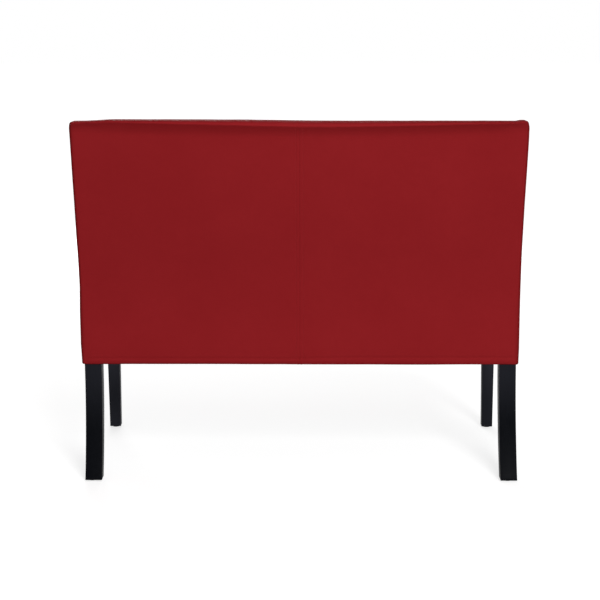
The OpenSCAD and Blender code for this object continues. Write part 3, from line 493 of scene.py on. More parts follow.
def cloth_shift(base, out, slack, pressure):
    """Sews a cloth a little larger than its seams down along the edge of a grid, blows it up from
    below and gives back how far each point has moved."""
    rows, cols = base.shape[:2]
    turned = faces_away(normals(base), out)
    obj = to_object("drape", base.reshape(-1, 3), grid_quads(rows, cols, 0, turned).tolist())
    ids = np.arange(rows * cols).reshape(rows, cols)
    pinned = np.concatenate([ids[0], ids[-1], ids[:, 0], ids[:, -1]])
    obj.vertex_groups.new(name="seam").add(sorted({int(i) for i in pinned}), 1.0, "REPLACE")
    cloth = obj.modifiers.new("drape", "CLOTH")
    settings = {
        "quality": 7, "mass": 0.25, "tension_stiffness": 22.0, "compression_stiffness": 22.0,
        "shear_stiffness": 11.0, "bending_stiffness": 3.0, "tension_damping": 12,
        "compression_damping": 12, "air_damping": 4, "vertex_group_mass": "seam",
        "shrink_min": -slack, "use_pressure": True, "uniform_pressure_force": pressure,
        "use_pressure_volume": True, "target_volume": 0,
    }
    for key, value in settings.items():
        setattr(cloth.settings, key, value)
    cloth.settings.effector_weights.gravity = 0
    cloth.collision_settings.use_collision = False
    cloth.collision_settings.use_self_collision = False
    cloth.point_cache.frame_start = 1
    cloth.point_cache.frame_end = CLOTH_FRAMES
    for step in range(1, CLOTH_FRAMES + 1):
        scene.frame_set(step)
    evaluated = obj.evaluated_get(bpy.context.evaluated_depsgraph_get())
    moved = read_points(evaluated.data.vertices) - read_points(obj.data.vertices)
    bpy.data.objects.remove(obj)
    scene.frame_set(1)
    return np.nan_to_num(moved.reshape(rows, cols, 3) * 1000)


def spline_weights(fine, coarse):
    """Catmull-Rom weights that carry values at coarse places to fine places."""
    w = np.zeros((len(fine), len(coarse)))
    for k, v in enumerate(fine):
        i = int(np.clip(np.searchsorted(coarse, v) - 1, 0, len(coarse) - 2))
        t = float(np.clip((v - coarse[i]) / (coarse[i + 1] - coarse[i]), 0, 1))
        parts = (
            (-t + 2 * t * t - t**3) / 2,
            (2 - 5 * t * t + 3 * t**3) / 2,
            (t + 4 * t * t - 3 * t**3) / 2,
            (t**3 - t * t) / 2,
        )
        for part, j in zip(parts, (i - 1, i, i + 1, i + 2)):
            w[k, min(max(j, 0), len(coarse) - 1)] += part
    return w


def fitted_shift(shift, coarse_rows, coarse_cols, rows, cols, n, low, high):
    """The cloth's shift on a finer grid, along its normals and held between low and high."""
    down, across = spline_weights(rows, coarse_rows), spline_weights(cols, coarse_cols)
    along = np.sum(np.einsum("ri,ijk,cj->rck", down, shift, across) * n, axis=2)
    return np.where(along > 0, high * np.tanh(along / high), -low * np.tanh(-along / low))


# ---- finishes
def feed(tree, socket, value):
    if isinstance(value, bpy.types.NodeSocket):
        tree.links.new(value, socket)
    else:
        socket.default_value = value


def add_node(tree, kind, inputs=None, **settings):
    """Adds a shader node, fed with values and other nodes' outputs, and gives back its outputs."""
    added = tree.nodes.new("ShaderNode" + kind)
    for key, value in settings.items():
        setattr(added, key, value)
    for key, value in (inputs or {}).items():
        feed(tree, added.inputs[key], value)
    return added.outputs


class Finish:
    """A material with short ways to add nodes to it."""

    def __init__(self, name, specular=0.5, **constants):
        self.material = bpy.data.materials.new(name)
        self.material.use_nodes = True
        self.tree = self.material.node_tree
        self.shader = self.tree.nodes["Principled BSDF"]
        for socket, value in {"Specular_IOR_Level": specular, **constants}.items():
            self.put(socket.replace("_", " "), value)
        self.place = self.add("TexCoord")["Object"]

    def add(self, kind, inputs=None, **settings):
        return add_node(self.tree, kind, inputs, **settings)

    def attribute(self, name):
        return self.add("Attribute", attribute_name=name)["Fac"]

    def stretched(self, scale):
        return self.add("Mapping", {"Vector": self.place, "Scale": scale})["Vector"]

    def noise(self, scale, detail=3.0, rough=0.5, place=None):
        inputs = {"Vector": place or self.place, "Scale": scale, "Detail": detail, "Roughness": rough}
        return self.add("TexNoise", inputs)["Fac"]

    def cells(self, scale, feature="DISTANCE_TO_EDGE"):
        inputs = {"Vector": self.place, "Scale": scale}
        return self.add("TexVoronoi", inputs, feature=feature)["Distance"]

    def waves(self, scale, direction, distortion=0.0):
        inputs = {"Vector": self.place, "Scale": scale, "Distortion": distortion}
        return self.add("TexWave", inputs, bands_direction=direction)["Fac"]

    def span(self, value, low, high, start=0.3, end=0.7):
        """A value's part from start to end, spread over low to high."""
        inputs = {"Value": value, "From Min": start, "From Max": end, "To Min": low, "To Max": high}
        return self.add("MapRange", inputs)["Result"]

    def maths(self, operation, a, b):
        return self.add("Math", {0: a, 1: b}, operation=operation)[0]

    def blend(self, factor, *colours):
        first, second = ((*c, 1) if isinstance(c, tuple) else c for c in colours)
        inputs = {"Factor": factor, 6: first, 7: second}
        return self.add("Mix", inputs, data_type="RGBA")[2]

    def mottle(self, value, first, second):
        return self.blend(self.span(value, 0, 1), first, second)

    def put(self, socket, value):
        feed(self.tree, self.shader.inputs[socket], value)

    def dress(self, colour, roughness, *layers):
        """Completes the material. Layers of bump are (height, strength, distance in metres), the
        widest first."""
        self.put("Base Color", colour)
        self.put("Roughness", roughness)
        normal = None
        for height, strength, distance in layers:
            inputs = {"Height": height, "Strength": strength, "Distance": distance}
            if normal is not None:
                inputs["Normal"] = normal
            normal = self.add("Bump", inputs)["Normal"]
        self.put("Normal", normal)
        return self.material


def leather_finish():
    f = Finish("red_leather", 0.006, Specular_Tint=(1.0, 0.7, 0.7, 1))
    pores = f.cells(820)
    creases = f.noise(1500, 2.0, 0.6)
    cloudy = f.noise(5.5, 4.0, 0.55)
    patch = f.noise(46, 3.0, 0.6)
    tone = f.mottle(cloudy, (0.216, 0.0111, 0.0135), (0.230, 0.0124, 0.0150))
    tone = f.blend(f.span(patch, 0, 0.35, 0.35, 0.75), tone, (0.210, 0.0105, 0.0130))
    # Painted shade: the grooves between the grain's cells are darker
    painted_groove_shade = f.span(pores, 0.45, 0, 0.0, 0.09)
    pitted = f.span(pores, 0, 1, 0.0, 0.16)
    # Painted shade and painted shadow: darker where the covers carry shade, under the band, at the
    # hem, along the crest and at the ends
    tone = f.blend(f.maths("MULTIPLY", f.attribute("shade"), 0.17), tone, (0.03, 0.0, 0.0))
    return f.dress(
        f.blend(painted_groove_shade, tone, (0.165, 0.0045, 0.006)),
        f.maths("ADD", f.span(patch, 0.58, 0.68), f.span(pores, 0.05, -0.02, 0, 0.3)),
        (cloudy, 0.1, 0.002), (pitted, 0.22, 0.00012), (creases, 0.12, 0.00008),
    )


def thread_finish():
    f = Finish("red_thread", 0.2)
    twist = f.waves(1400, "DIAGONAL", 0.6)
    # Painted shade: the thread is darker in the grooves of its twist and lighter on its ridges
    return f.dress(
        f.blend(twist, (0.17, 0.006, 0.008), (0.26, 0.011, 0.014)),
        f.span(f.noise(900), 0.55, 0.75),
        (twist, 0.5, 0.00008),
    )


def black_wood_finish():
    f = Finish("black_wood", 0.02)
    grain_place = f.stretched((1, 1, 0.045))
    grain = f.noise(230, 5.0, 0.62, grain_place)
    pores = f.noise(900, 2.0, 0.5, f.stretched((1, 1, 0.02)))
    wear = f.attribute("wear")
    tone = f.blend(f.span(grain, 0, 1, 0.35, 0.7), (0.0013, 0.0016, 0.0026), (0.0026, 0.0030, 0.0043))
    # Painted light: the legs are paler toward their tops and on the front, by a share that each leg
    # gives
    tone = f.blend(f.attribute("painted_light"), tone, (0.090, 0.092, 0.117))
    worn = f.maths("MULTIPLY", wear, f.span(f.noise(60, 4.0), 0, 0.5, 0.45, 0.75))
    return f.dress(
        f.blend(worn, tone, (0.022, 0.020, 0.019)),
        f.maths("ADD", f.span(grain, 0.30, 0.42), f.span(f.noise(14, 4.0), -0.03, 0.06)),
        (grain, 0.12, 0.0006), (pores, 0.2, 0.00012),
    )


def raw_wood_finish(name, along, light, dark, scale=160):
    f = Finish(name, 0.3)
    stretch = [1.0, 1.0, 1.0]
    stretch["XYZ".index(along)] = 0.035
    grain = f.noise(scale, 5.0, 0.6, f.stretched(tuple(stretch)))
    broad = f.noise(scale / 8, 3.0, 0.6, f.stretched(tuple(stretch)))
    tone = f.mottle(broad, light, dark)
    return f.dress(
        f.blend(f.span(grain, 0, 0.55, 0.5, 0.8), tone, tuple(c * 0.55 for c in dark)),
        f.span(grain, 0.55, 0.75),
        (grain, 0.3, 0.0006),
    )


def weave_finish(name, light, dark, pitch, roughness=0.85):
    f = Finish(name, 0.2)
    warp = f.waves(1000 / pitch / pi / 2, "X")
    weft = f.waves(1000 / pitch / pi / 2, "Y")
    cross = f.maths("MULTIPLY", warp, weft)
    fuzz = f.noise(700, 4.0, 0.6)
    # Painted shade: the weave is darker where it lies low and lighter where it stands high
    return f.dress(
        f.blend(f.maths("MULTIPLY", cross, f.span(fuzz, 0.4, 1.0)), dark, light),
        f.span(fuzz, roughness - 0.08, roughness + 0.08),
        (cross, 0.5, 0.0004), (fuzz, 0.3, 0.0002),
    )


def fibre_finish(name, light, dark, scale, depth, roughness=0.9, sheen=0.0):
    f = Finish(name, 0.15, Sheen_Weight=sheen)
    fluff = f.noise(scale, 6.0, 0.7)
    clump = f.noise(scale / 14, 3.0, 0.6)
    tone = f.mottle(clump, light, dark)
    return f.dress(
        f.blend(f.span(fluff, 0, 0.5, 0.45, 0.75), tone, dark),
        f.span(fluff, roughness - 0.06, roughness + 0.06),
        (clump, 0.3, depth * 2), (fluff, 0.5, depth),
    )


def foam_finish():
    f = Finish("foam", 0.15)
    pores = f.cells(620, "F1")
    age = f.noise(7, 3.0)
    tone = f.mottle(age, (0.72, 0.64, 0.38), (0.66, 0.56, 0.31))
    # Painted shade: the pits of the open cells are darker
    return f.dress(
        f.blend(f.span(pores, 0.5, 0, 0.0, 0.35), tone, (0.42, 0.34, 0.17)),
        f.span(pores, 0.95, 0.85, 0.0, 0.5),
        (pores, 0.5, 0.0008),
    )


def steel_finish():
    f = Finish("steel", Metallic=1.0)
    scratch = f.noise(1200, 4.0, 0.6, f.stretched((1, 0.1, 1)))
    return f.dress(
        f.mottle(scratch, (0.5, 0.5, 0.51), (0.62, 0.61, 0.6)),
        f.span(scratch, 0.28, 0.45),
        (scratch, 0.15, 0.00005),
    )


def plastic_finish():
    f = Finish("glide_plastic", 0.45)
    mottle = f.noise(60, 4.0)
    scuff = f.noise(900, 4.0, 0.6)
    return f.dress(
        f.mottle(mottle, (0.030, 0.030, 0.032), (0.045, 0.044, 0.044)),
        f.span(scuff, 0.38, 0.58),
        (scuff, 0.2, 0.00006),
    )


leather = leather_finish()
thread = thread_finish()
black_wood = black_wood_finish()
frame_wood = {
    axis: raw_wood_finish(f"frame_wood_{axis}", axis, (0.60, 0.42, 0.24), (0.48, 0.31, 0.16))
    for axis in "XYZ"
}
dowel_wood = raw_wood_finish("dowel_wood", "X", (0.66, 0.48, 0.30), (0.55, 0.38, 0.21), 420)
hardboard = fibre_finish("hardboard", (0.26, 0.145, 0.07), (0.17, 0.09, 0.042), 340, 0.00025, 0.6)
steel = steel_finish()
plastic = plastic_finish()
jute = weave_finish("webbing", (0.50, 0.37, 0.20), (0.25, 0.17, 0.085), 1.6)
felt = fibre_finish("felt", (0.13, 0.13, 0.135), (0.075, 0.075, 0.08), 800, 0.0004, 0.92, 0.2)
foam = foam_finish()
wadding = fibre_finish("wadding", (0.80, 0.80, 0.78), (0.68, 0.68, 0.66), 420, 0.0012, 0.95, 0.2)
dust_cloth = fibre_finish(
    "dust_cloth", (0.016, 0.016, 0.017), (0.008, 0.008, 0.009), 1100, 0.0002, 0.8
)

# ---- covers
SIDES = (("left", True), ("right", False))
made = {}


def painted_edge_shade(node, outer):
    """How much painted shade darkens the leather: a painted shadow where the band overhangs, and
    painted shade where the hem is folded, along the crest and at the ends."""
    x, z = np.minimum(np.abs(outer[..., 0]), HALF_W), outer[..., 2]
    ends = 1.9 * ramp(x, HALF_W - 8, HALF_W - 3)
    if node == "top_band":
        return ends + 1.5 * ramp(z - z.max(axis=0), -4.5, -0.8)
    painted_shadow_under_band = 1 - ramp(seam_z(x) - z, 5, 29)
    return ends + painted_shadow_under_band + 0.5 * ramp(326 - z, 0, 12) + ramp(z, 315, 312)


def cover(node, side, grid, out, curl, detail, rear_lean=SEWN_LEAN):
    """A leather sheet that stands for a CAD cover."""
    piece = node.replace("_cover", "")
    name = f"cover_{piece}_{side}"
    flip = side == "left"
    obj, outer, n = sheet_object(name, grid, out, detail, curl, flip=flip, rear_lean=rear_lean)
    finish_piece(obj, leather, "red_leather", f"{node}_{side}")
    if node in ("outside_back", "top_band"):
        # Painted shade on the outside back and the top band, for the leather finish to read
        set_attribute(obj, "shade", np.tile(painted_edge_shade(node, outer).ravel(), 2))
    made[piece, side] = outer, n


for side, _ in SIDES:
    cover("outside_back", side, outside_back_grid(), (0, 1, 0), (0, 1, 0.22, 1),
          outside_back_detail)
    cover("top_band", side, top_band_grid(), (0, 0, 1), (1, 1, 0.22, 1),
          top_band_detail)


# The seat and the inside back are cloth, sewn down along their seams and filled from below. It is
# made on coarse grids, and its shift is carried over to the covers' finer ones.
COARSE_STEP = 7.0
# The furthest that the cloth goes in from the drawn face
CLOTH_IN = 0.4
coarse_arc = np.radians([12.5, 25, 37.5, 50])
seat_x = np.concatenate([beside_seam, spaced(22, HALF_W - SEAT_EDGE_R, 5)])
seat_cols = edge_columns(seat_x, SEAT_EDGE_R, EDGE_END, 1.6)
seat_flat = spaced(0, SEAT_RUN, 5, (1, 0))
seat_arc = spaced(0, radians(EDGE_END) * SEAT_EDGE_R, 1.6, (0, 1))[1:] / SEAT_EDGE_R
back_flat = spaced(FOAM_Z + SOFT_GAP, ROLL_Z, 5.5)
back_arc = spaced(0, radians(EDGE_END) * TOP_FRONT_R, 1.8, (0, 1))[1:] / TOP_FRONT_R


def down_runs(flat, radius, arc):
    """Distances over the flat rows and on round the edge after them."""
    return np.concatenate([flat, flat[-1] + radius * arc])


def across_runs(cols, radius):
    """Distances from the middle over the flat columns and on round the edge."""
    return np.where(cols[:, 2] > 0, HALF_W - radius + radius * cols[:, 2], cols[:, 0])


def coarse_columns(radius, end):
    flat = np.linspace(SEAM_HALF, HALF_W - radius, int((HALF_W - radius) / COARSE_STEP) + 1)
    return turned_columns(flat, radius, np.radians(np.linspace(0, end, 4)[1:]))


shifts = {}
cols = coarse_columns(SEAT_EDGE_R, EDGE_END)
flat = np.linspace(0, SEAT_RUN, int(SEAT_RUN / COARSE_STEP) + 1)
shift = cloth_shift(seat_surface(cols, flat, coarse_arc), (0, 0, 1), 0.004, 1.6)
shifts["seat"] = shift, down_runs(flat, SEAT_EDGE_R, coarse_arc), across_runs(cols, SEAT_EDGE_R)

cols = coarse_columns(COVER_EDGE_R, CORNER_END)
flat = np.linspace(SEAT_H - 6, ROLL_Z, int((ROLL_Z - SEAT_H) / COARSE_STEP) + 1)
shift = cloth_shift(inside_back_surface(cols, flat, coarse_arc), (0, -1, 0), 0.003, 1.2)
shifts["back"] = shift, down_runs(flat, TOP_FRONT_R, coarse_arc), across_runs(cols, COVER_EDGE_R)


def cloth_lift(key, runs, across, grid, n, most):
    if key not in shifts:
        return 0.0
    outward = n * np.where(grid[..., :1] < 0, (-1, 1, 1), 1)
    return fitted_shift(*shifts[key], runs, across, outward, CLOTH_IN, most)


def seat_detail(grid, n):
    x = np.abs(grid[..., 0])
    runs = down_runs(seat_flat, SEAT_EDGE_R, seat_arc)
    across = across_runs(seat_cols, SEAT_EDGE_R)
    seam = 0.7 * topstitch(x, 8.5) * ramp(seat_cols[:, 0], 0, 1)
    soft = 0.5 * soft_noise(grid, 130, 21) + 0.18 * soft_noise(grid, 40, 22)
    return seam + cloth_lift("seat", runs, across, grid, n, 9) + soft * ramp(x, 10, 50)


def back_detail(grid, n):
    x, z = np.abs(grid[..., 0]), grid[..., 2]
    runs = down_runs(back_flat, TOP_FRONT_R, back_arc)
    across = across_runs(cover_cols, COVER_EDGE_R)
    soft = 0.45 * soft_noise(grid, 130, 31) + 0.15 * soft_noise(grid, 40, 32)
    lift = cloth_lift("back", runs, across, grid, n, 8) + soft * ramp(x, 12, 50)
    return topstitch(x) + lift * ramp(z, SEAT_H - 4, SEAT_H + 14)


for side, _ in SIDES:
    surface = seat_surface(seat_cols, seat_flat, seat_arc)
    cover("seat_cover", side, surface, (0, 0, 1), (1, 1, 1, 1), seat_detail)
    surface = inside_back_surface(cover_cols, back_flat, back_arc)
    cover("inside_back", side, surface, (0, -1, 0), (0, 1, 1, 1), back_detail)


def border_section():
    """Down from the seat's upper edge and round the hem: (distance in from the face, height)."""
    radius = SEAT_EDGE_R
    start = radians(EDGE_END) * radius + SOFT_GAP
    arc = spaced(start, pi / 2 * radius, 1.6, (1, 0)) / radius
    section = [
        (radius * (1 - sin(a)), SEAT_H - radius + radius * cos(a)) for a in arc
    ]
    section += [(0, z) for z in spaced(LEG_H + HEM_R, SEAT_H - radius, 5)[::-1][1:]]
    return section + hem_turn()


def seat_front_grid():
    x, back, turn = cover_cols.T
    rows = []
    for tuck, z in border_section():
        full = along_fill((z - LEG_H) / (SEAT_H - LEG_H))
        crown = FRONT_CROWN * full * along_fill(0.5 + x / 2 / (HALF_W - COVER_EDGE_R))
        y = -SEAT_BOX_D + back + tuck * np.cos(turn) - crown
        rows.append([x - tuck * np.sin(turn), y, 0 * x + z])
    return np.array(rows).transpose(0, 2, 1)


def side_columns():
    """Columns of a side sheet's turned edge: distances in from the side and depths from its end,
    and how far their faces point to the side and to the end."""
    start = radians(SIDE_START) * COVER_EDGE_R
    arc = spaced(start, pi / 2 * COVER_EDGE_R, 1.0, (1, 0)) / COVER_EDGE_R
    turned = COVER_EDGE_R * (1 - np.sin(arc))
    depth = COVER_EDGE_R * (1 - np.cos(arc))
    aside = 1 - turned / COVER_EDGE_R
    return turned, depth, aside, np.sqrt(1 - aside**2)


SEAT_SIDE_COLUMNS = 92


def seat_side_grid():
    turned, depth, aside, ahead = side_columns()
    shares = np.linspace(0, 1, SEAT_SIDE_COLUMNS)
    rows = []
    for tuck, z in border_section():
        # It ends in behind the gusset of the back
        end_y = float(bend(z)) - BACK_LOW_T + 4.0
        flat = spaced(-SEAT_BOX_D + COVER_EDGE_R, end_y, 6, (0, 1))[1:]
        flat = np.interp(shares, np.linspace(0, 1, len(flat)), flat)
        x = np.concatenate([HALF_W - turned - tuck * aside, HALF_W - tuck + 0 * flat])
        y = np.concatenate([-SEAT_BOX_D + depth + tuck * ahead, flat])
        rows.append(np.stack([x, y, 0 * x + z], axis=1))
    return np.array(rows)


def side_panel_grid():
    turned, depth, _, ahead = side_columns()
    radius = COVER_EDGE_R
    share = np.linspace(0, 1, 12)[1:-1]
    inward = np.concatenate([turned, 0 * share, turned[::-1]])
    facing = np.concatenate([-ahead, 0 * share, ahead[::-1]])
    shares = np.concatenate([0 * depth, share, 0 * depth + 1])
    rows = []

    def front_at(z, inset):
        if z <= ROLL_Z:
            return float(front_skin_y(z)) + inset
        reach = sqrt(max(0.0, (TOP_FRONT_R - inset) ** 2 - (z - ROLL_Z) ** 2))
        return float(front_skin_y(ROLL_Z)) + TOP_FRONT_R - reach

    def row(z_of, tuck=0, over=0):
        """One row: z_of gives its height at a share of the depth, tuck is how far the hem is turned
        in, and over how far the top edge is."""
        z_front, z_rear = z_of(0), z_of(1)
        rear = float(bend(z_rear) + flare(HALF_W, min(z_rear, BACK_H - BAND_DROP_END)))
        fronts = [front_at(z_front, d) for d in depth]
        flat = between(front_at(z_front, radius), rear - radius, share)
        y = np.concatenate([fronts, flat, rear - depth[::-1]]) - tuck * facing
        x = HALF_W - (inward**4 + over**4) ** 0.25 - tuck * np.sqrt(1 - facing**2)
        rows.append(np.stack([x, y, [z_of(s) for s in shares]], axis=1))

    for tuck, z in reversed(hem_turn()):
        row(lambda s, z=z: z, tuck)
    upper = 915
    for z in np.concatenate([spaced(LEG_H + HEM_R, 345, 3)[:-1], spaced(345, upper, 8)]):
        row(lambda s, z=z: z)
    for t in np.linspace(0, 1, 12)[1:]:
        row(lambda s, t=t: between(upper, BACK_H - radius - s, t))
    for a in spaced(0, (pi / 2 - radians(SIDE_START)) * radius, 0.8, (0, 1))[1:] / radius:
        row(lambda s, a=a: BACK_H - radius - s + radius * sin(a), 0, radius * (1 - cos(a)))
    return np.array(rows)


def front_detail(grid, n):
    x, z = np.abs(grid[..., 0]), grid[..., 2]
    pucker = 0.5 * soft_noise(grid * (1, 0, 0.16), 21, 43) * np.exp(-(SEAT_H - 6 - z) / 20)
    soft = (0.35 * soft_noise(grid, 110, 41) + pucker) * ramp(x, 12, 40)
    return 0.8 * topstitch(x) * ramp(SEAT_H - z, 8, 20) + soft


def soft_detail(seed, amount):
    def detail(grid, n):
        down, up = run_lengths(grid, 0)
        left, right = run_lengths(grid, 1)
        away = np.minimum(np.minimum(down, up), np.minimum(left, right))
        ripple = 0.35 * soft_noise(grid * (0.7, 0.7, 0.25), 26, seed + 2) * np.exp(-up / 20)
        soft = amount * soft_noise(grid, 120, seed) + 0.12 * soft_noise(grid, 38, seed + 1)
        return (soft + ripple) * ramp(away, 2, 26)

    return detail


for side, flip in SIDES:
    out = (-1, 0, 0) if flip else (1, 0, 0)
    cover("seat_front", side, seat_front_grid(), (0, -1, 0), (1, 0, 1, 1),
          front_detail)
    cover("seat_side", side, seat_side_grid(), out, (1, 0, 1, 1),
          soft_detail(51, 0.35), rear_lean=2.3)
    cover("side_panel", side, side_panel_grid(), out, (0, 1, 1, 1),
          soft_detail(61, 0.3))


# ---- stitches
def loft_faces(base, rings, size):
    """Faces of a loft through rings of points from base on, closed at both ends."""
    faces = []
    for k in range(rings - 1):
        for m in range(size):
            a, b = base + k * size + m, base + k * size + (m + 1) % size
            faces.append((a, b, b + size, a + size))
    faces.append(tuple(range(base + size - 1, base - 1, -1)))
    faces.append(tuple(range(base + (rings - 1) * size, base + rings * size)))
    return faces


STITCH_PITCH, STITCH_LENGTH, THREAD_R = 4.6, 3.7, 0.3
# Along a stitch: share of its length, share of the thread's radius, and lift in radii
STITCH_STATIONS = (
    (0.0, 0.35, -0.56), (0.18, 0.9, 0.08), (0.5, 1.0, 0.32), (0.82, 0.9, 0.08), (1.0, 0.35, -0.56),
)


def stitch_row(name, path, normal):
    """Stitches along a line of points with normals: short capsules that dip in at their ends."""
    points, faces = [], []
    ring = [(cos(a), sin(a)) for a in np.arange(6) * pi / 3]
    run = np.concatenate([[0], np.cumsum(np.linalg.norm(np.diff(path, axis=0), axis=1))])
    for begin in np.arange(STITCH_PITCH / 2, run[-1] - STITCH_LENGTH, STITCH_PITCH):
        faces += loft_faces(len(points), len(STITCH_STATIONS), len(ring))
        at = [begin + STITCH_LENGTH * share for share, _, _ in STITCH_STATIONS]
        centre = np.stack([np.interp(at, run, path[:, k]) for k in range(3)], axis=1)
        up = np.stack([np.interp(at, run, normal[:, k]) for k in range(3)], axis=1)
        up /= np.linalg.norm(up, axis=1, keepdims=True)
        ahead = centre[-1] - centre[0]
        ahead /= np.linalg.norm(ahead)
        for (_, size, lift), c, u in zip(STITCH_STATIONS, centre, up):
            across = np.cross(u, ahead)
            for p, q in ring:
                points.append(c + THREAD_R * (u * lift + size * (across * p + u * q)))
    finish_piece(to_object(name, points, faces), thread, "red_leather")


# The pieces with topstitching, its distance from the seam, and the rows that it runs between
TOPSTITCHED = (
    ("outside_back", 9.5, 5, -6), ("inside_back", 9.5, 13, -6), ("seat", 8.5, 3, -6),
    ("seat_front", 9.5, 8, -5),
)
for side, _ in SIDES:
    for piece, distance, first, last in TOPSTITCHED:
        outer, n = made[piece, side]
        column = int(np.argmin(np.abs(np.abs(outer[outer.shape[0] // 2, :, 0]) - distance)))
        stitch_row(f"stitches_{piece}_{side}", outer[first:last, column], n[first:last, column])


# ---- legs
CORNER_STEPS = 4
LEG_EDGE_R = 1.3


def rounded_section(x0, x1, y0, y1, r):
    """A rectangle with rounded corners, anticlockwise, and how worn each point is. A point in the
    middle of each face keeps the wear off it."""
    corners = []
    for cx, cy, start in (
        (x1 - r, y0 + r, -90), (x1 - r, y1 - r, 0), (x0 + r, y1 - r, 90), (x0 + r, y0 + r, 180)
    ):
        turn = [radians(start + 90 * k / CORNER_STEPS) for k in range(CORNER_STEPS + 1)]
        corners.append([(cx + r * cos(a), cy + r * sin(a)) for a in turn])
    points = []
    for corner, following in zip(corners, corners[1:] + corners[:1]):
        points += corner + [tuple((p + q) / 2 for p, q in zip(corner[-1], following[0]))]
    wear = [sin(pi * k / CORNER_STEPS) ** 0.7 for k in range(1, CORNER_STEPS)]
    return points, [0, *wear, 0, 0] * len(corners)


def leg_object(name, levels, section, painted_light_at):
    """A leg lofted through sections (x0, x1, y0, y1) at its levels, with eased ends. The last
    argument gives the share of painted light, a paler colour, at a height."""
    low, high, r = levels[0], levels[-1], LEG_EDGE_R
    ease = [(r * (1 - cos(t)), r * (1 - sin(t)), 1.0) for t in np.radians([0, 30, 60])]
    ease.append((r, 0.0, 0.2))
    stations = [(low + rise, inset, wear) for rise, inset, wear in ease]
    stations += [(z, 0.0, 0.0) for z in levels if low + r < z < high - r]
    stations += [(high - rise, inset, wear) for rise, inset, wear in reversed(ease)]
    points, worn, painted_light = [], [], []
    for z, inset, wear in stations:
        x0, x1, y0, y1 = section(z)
        radius = max(0.4, r - inset * 0.6)
        ring, corner = rounded_section(x0 + inset, x1 - inset, y0 + inset, y1 - inset, radius)
        points += [(px, py, z) for px, py in ring]
        worn += [max(c, wear) for c in corner]
        painted_light += [painted_light_at(z)] * len(ring)
    obj = to_object(name, points, loft_faces(0, len(stations), len(ring)), sharp=40)
    set_attribute(obj, "wear", worn)
    set_attribute(obj, "painted_light", painted_light)
    return obj


# How far each rear leg stands off its place sideways: at the hem, and how much more at the floor
STANCE = {"left": (0.6, -3.1), "right": (-2.6, -2.3)}
# How far the left front leg stands off its place toward the middle at the hem
FRONT_OFF = 3.0
# Under the hem the legs are fuller than the posts that they carry on into
REAR_FULLER, FRONT_FULLER = 1.1, 2.0
rear_levels = np.concatenate([
    np.linspace(GLIDE_T, LEG_H, 40), [LEG_H + 0.3],
    np.linspace(LEG_H, BEND_LOW_Z, 5)[1:],
    np.linspace(BEND_LOW_Z, BEND_HIGH_Z, 14)[1:],
    np.linspace(BEND_HIGH_Z, FRAME_TOP_Z, 10)[1:],
])
front_levels = np.concatenate([
    np.linspace(GLIDE_T, LEG_H, 16), [LEG_H + 0.3], np.linspace(LEG_H, DECK_Z, 4)[1:]
])
for side, flip in SIDES:

    def placed(x0, x1):
        return (-x1, -x0) if flip else (x0, x1)

    def rear_section(z):
        x0, x1 = placed(FRAME_HALF - REAR_LEG_W, FRAME_HALF)
        if z <= LEG_H:
            off = STANCE[side][0] + STANCE[side][1] * (LEG_H - z) / LEG_H
            x0, x1 = x0 + off - REAR_FULLER, x1 + off + REAR_FULLER
        return (x0, x1, float(post_front_y(z)), float(post_rear_y(z)))

    def front_section(z):
        t = min(1.0, max(0.0, (z - GLIDE_T) / (LEG_H - GLIDE_T)))
        fuller = FRONT_FULLER * (0.75 + 0.25 * t) if z <= LEG_H else 0
        off = FRONT_OFF * t if flip and z <= LEG_H else 0
        foot_x = FRAME_HALF - FRONT_FOOT_IN
        x0 = between(foot_x - FRONT_FOOT_W, FRAME_HALF - FRONT_LEG_W, t)
        x1 = between(foot_x, FRAME_HALF, t)
        x0, x1 = placed(x0 - fuller, x1 + fuller)
        front = -SEAT_BOX_D + FRONT_LEG_IN
        middle = front + FRONT_LEG_D / 2
        y0 = between(middle - FRONT_FOOT_D / 2, front, t)
        y1 = between(middle + FRONT_FOOT_D / 2, front + FRONT_LEG_D, t)
        return (x0 + off, x1 + off, y0, y1)

    # Painted light: paler toward the top of each leg, more on the front legs and most on the right
    # front leg
    leg = leg_object(f"wood_rear_leg_{side}", rear_levels, rear_section,
                     lambda z: 0.104 * float(ramp(z, 120, LEG_H)))
    finish_piece(leg, black_wood, "black_wood", f"rear_leg_{side}")
    painted_light_low, rise = (0.13, 0.25) if flip else (0.23, 0.5)
    leg = leg_object(f"wood_front_leg_{side}", front_levels, front_section,
                     lambda z: painted_light_low + rise * float(ramp(z, 60, LEG_H)))
    finish_piece(leg, black_wood, "black_wood", f"front_leg_{side}")


# ---- filling and cloths inside
def filled_sheet(name, half, out, node, finish, slot, thick):
    """Both halves of a wadding in one piece."""
    both = np.concatenate([half[:, :0:-1] * (-1, 1, 1), half], axis=1)
    n = normals(both)
    both = both - n * (PAD_OUT + COVER_T) * (-1 if faces_away(n, out) else 1)

    def fluff(grid, n):
        return 0.5 * soft_noise(grid, 18, 71) - 0.3

    obj, _, _ = sheet_object(name, both, out, fluff, (0, 0, 0, 0), thick)
    finish_piece(obj, finish, slot, node)


cols = edge_columns(np.linspace(0, HALF_W - SEAT_EDGE_R, 60), SEAT_EDGE_R, 45, 4)
half = seat_surface(cols, np.linspace(4, SEAT_RUN, 44), np.radians([15, 30, 45]))
filled_sheet("wadding_seat", half, (0, 0, 1), "seat_wadding", wadding, "wadding", 4.4)
cols = edge_columns(np.linspace(0, HALF_W - COVER_EDGE_R, 60), COVER_EDGE_R, 50, 3)
heights = np.linspace(FOAM_Z + 3, ROLL_Z, 56)
half = inside_back_surface(cols, heights, np.radians([15, 30, 45, 60, 75, 90]))
filled_sheet("wadding_back", half, (0, -1, 0), "back_wadding", wadding, "wadding", 4.4)


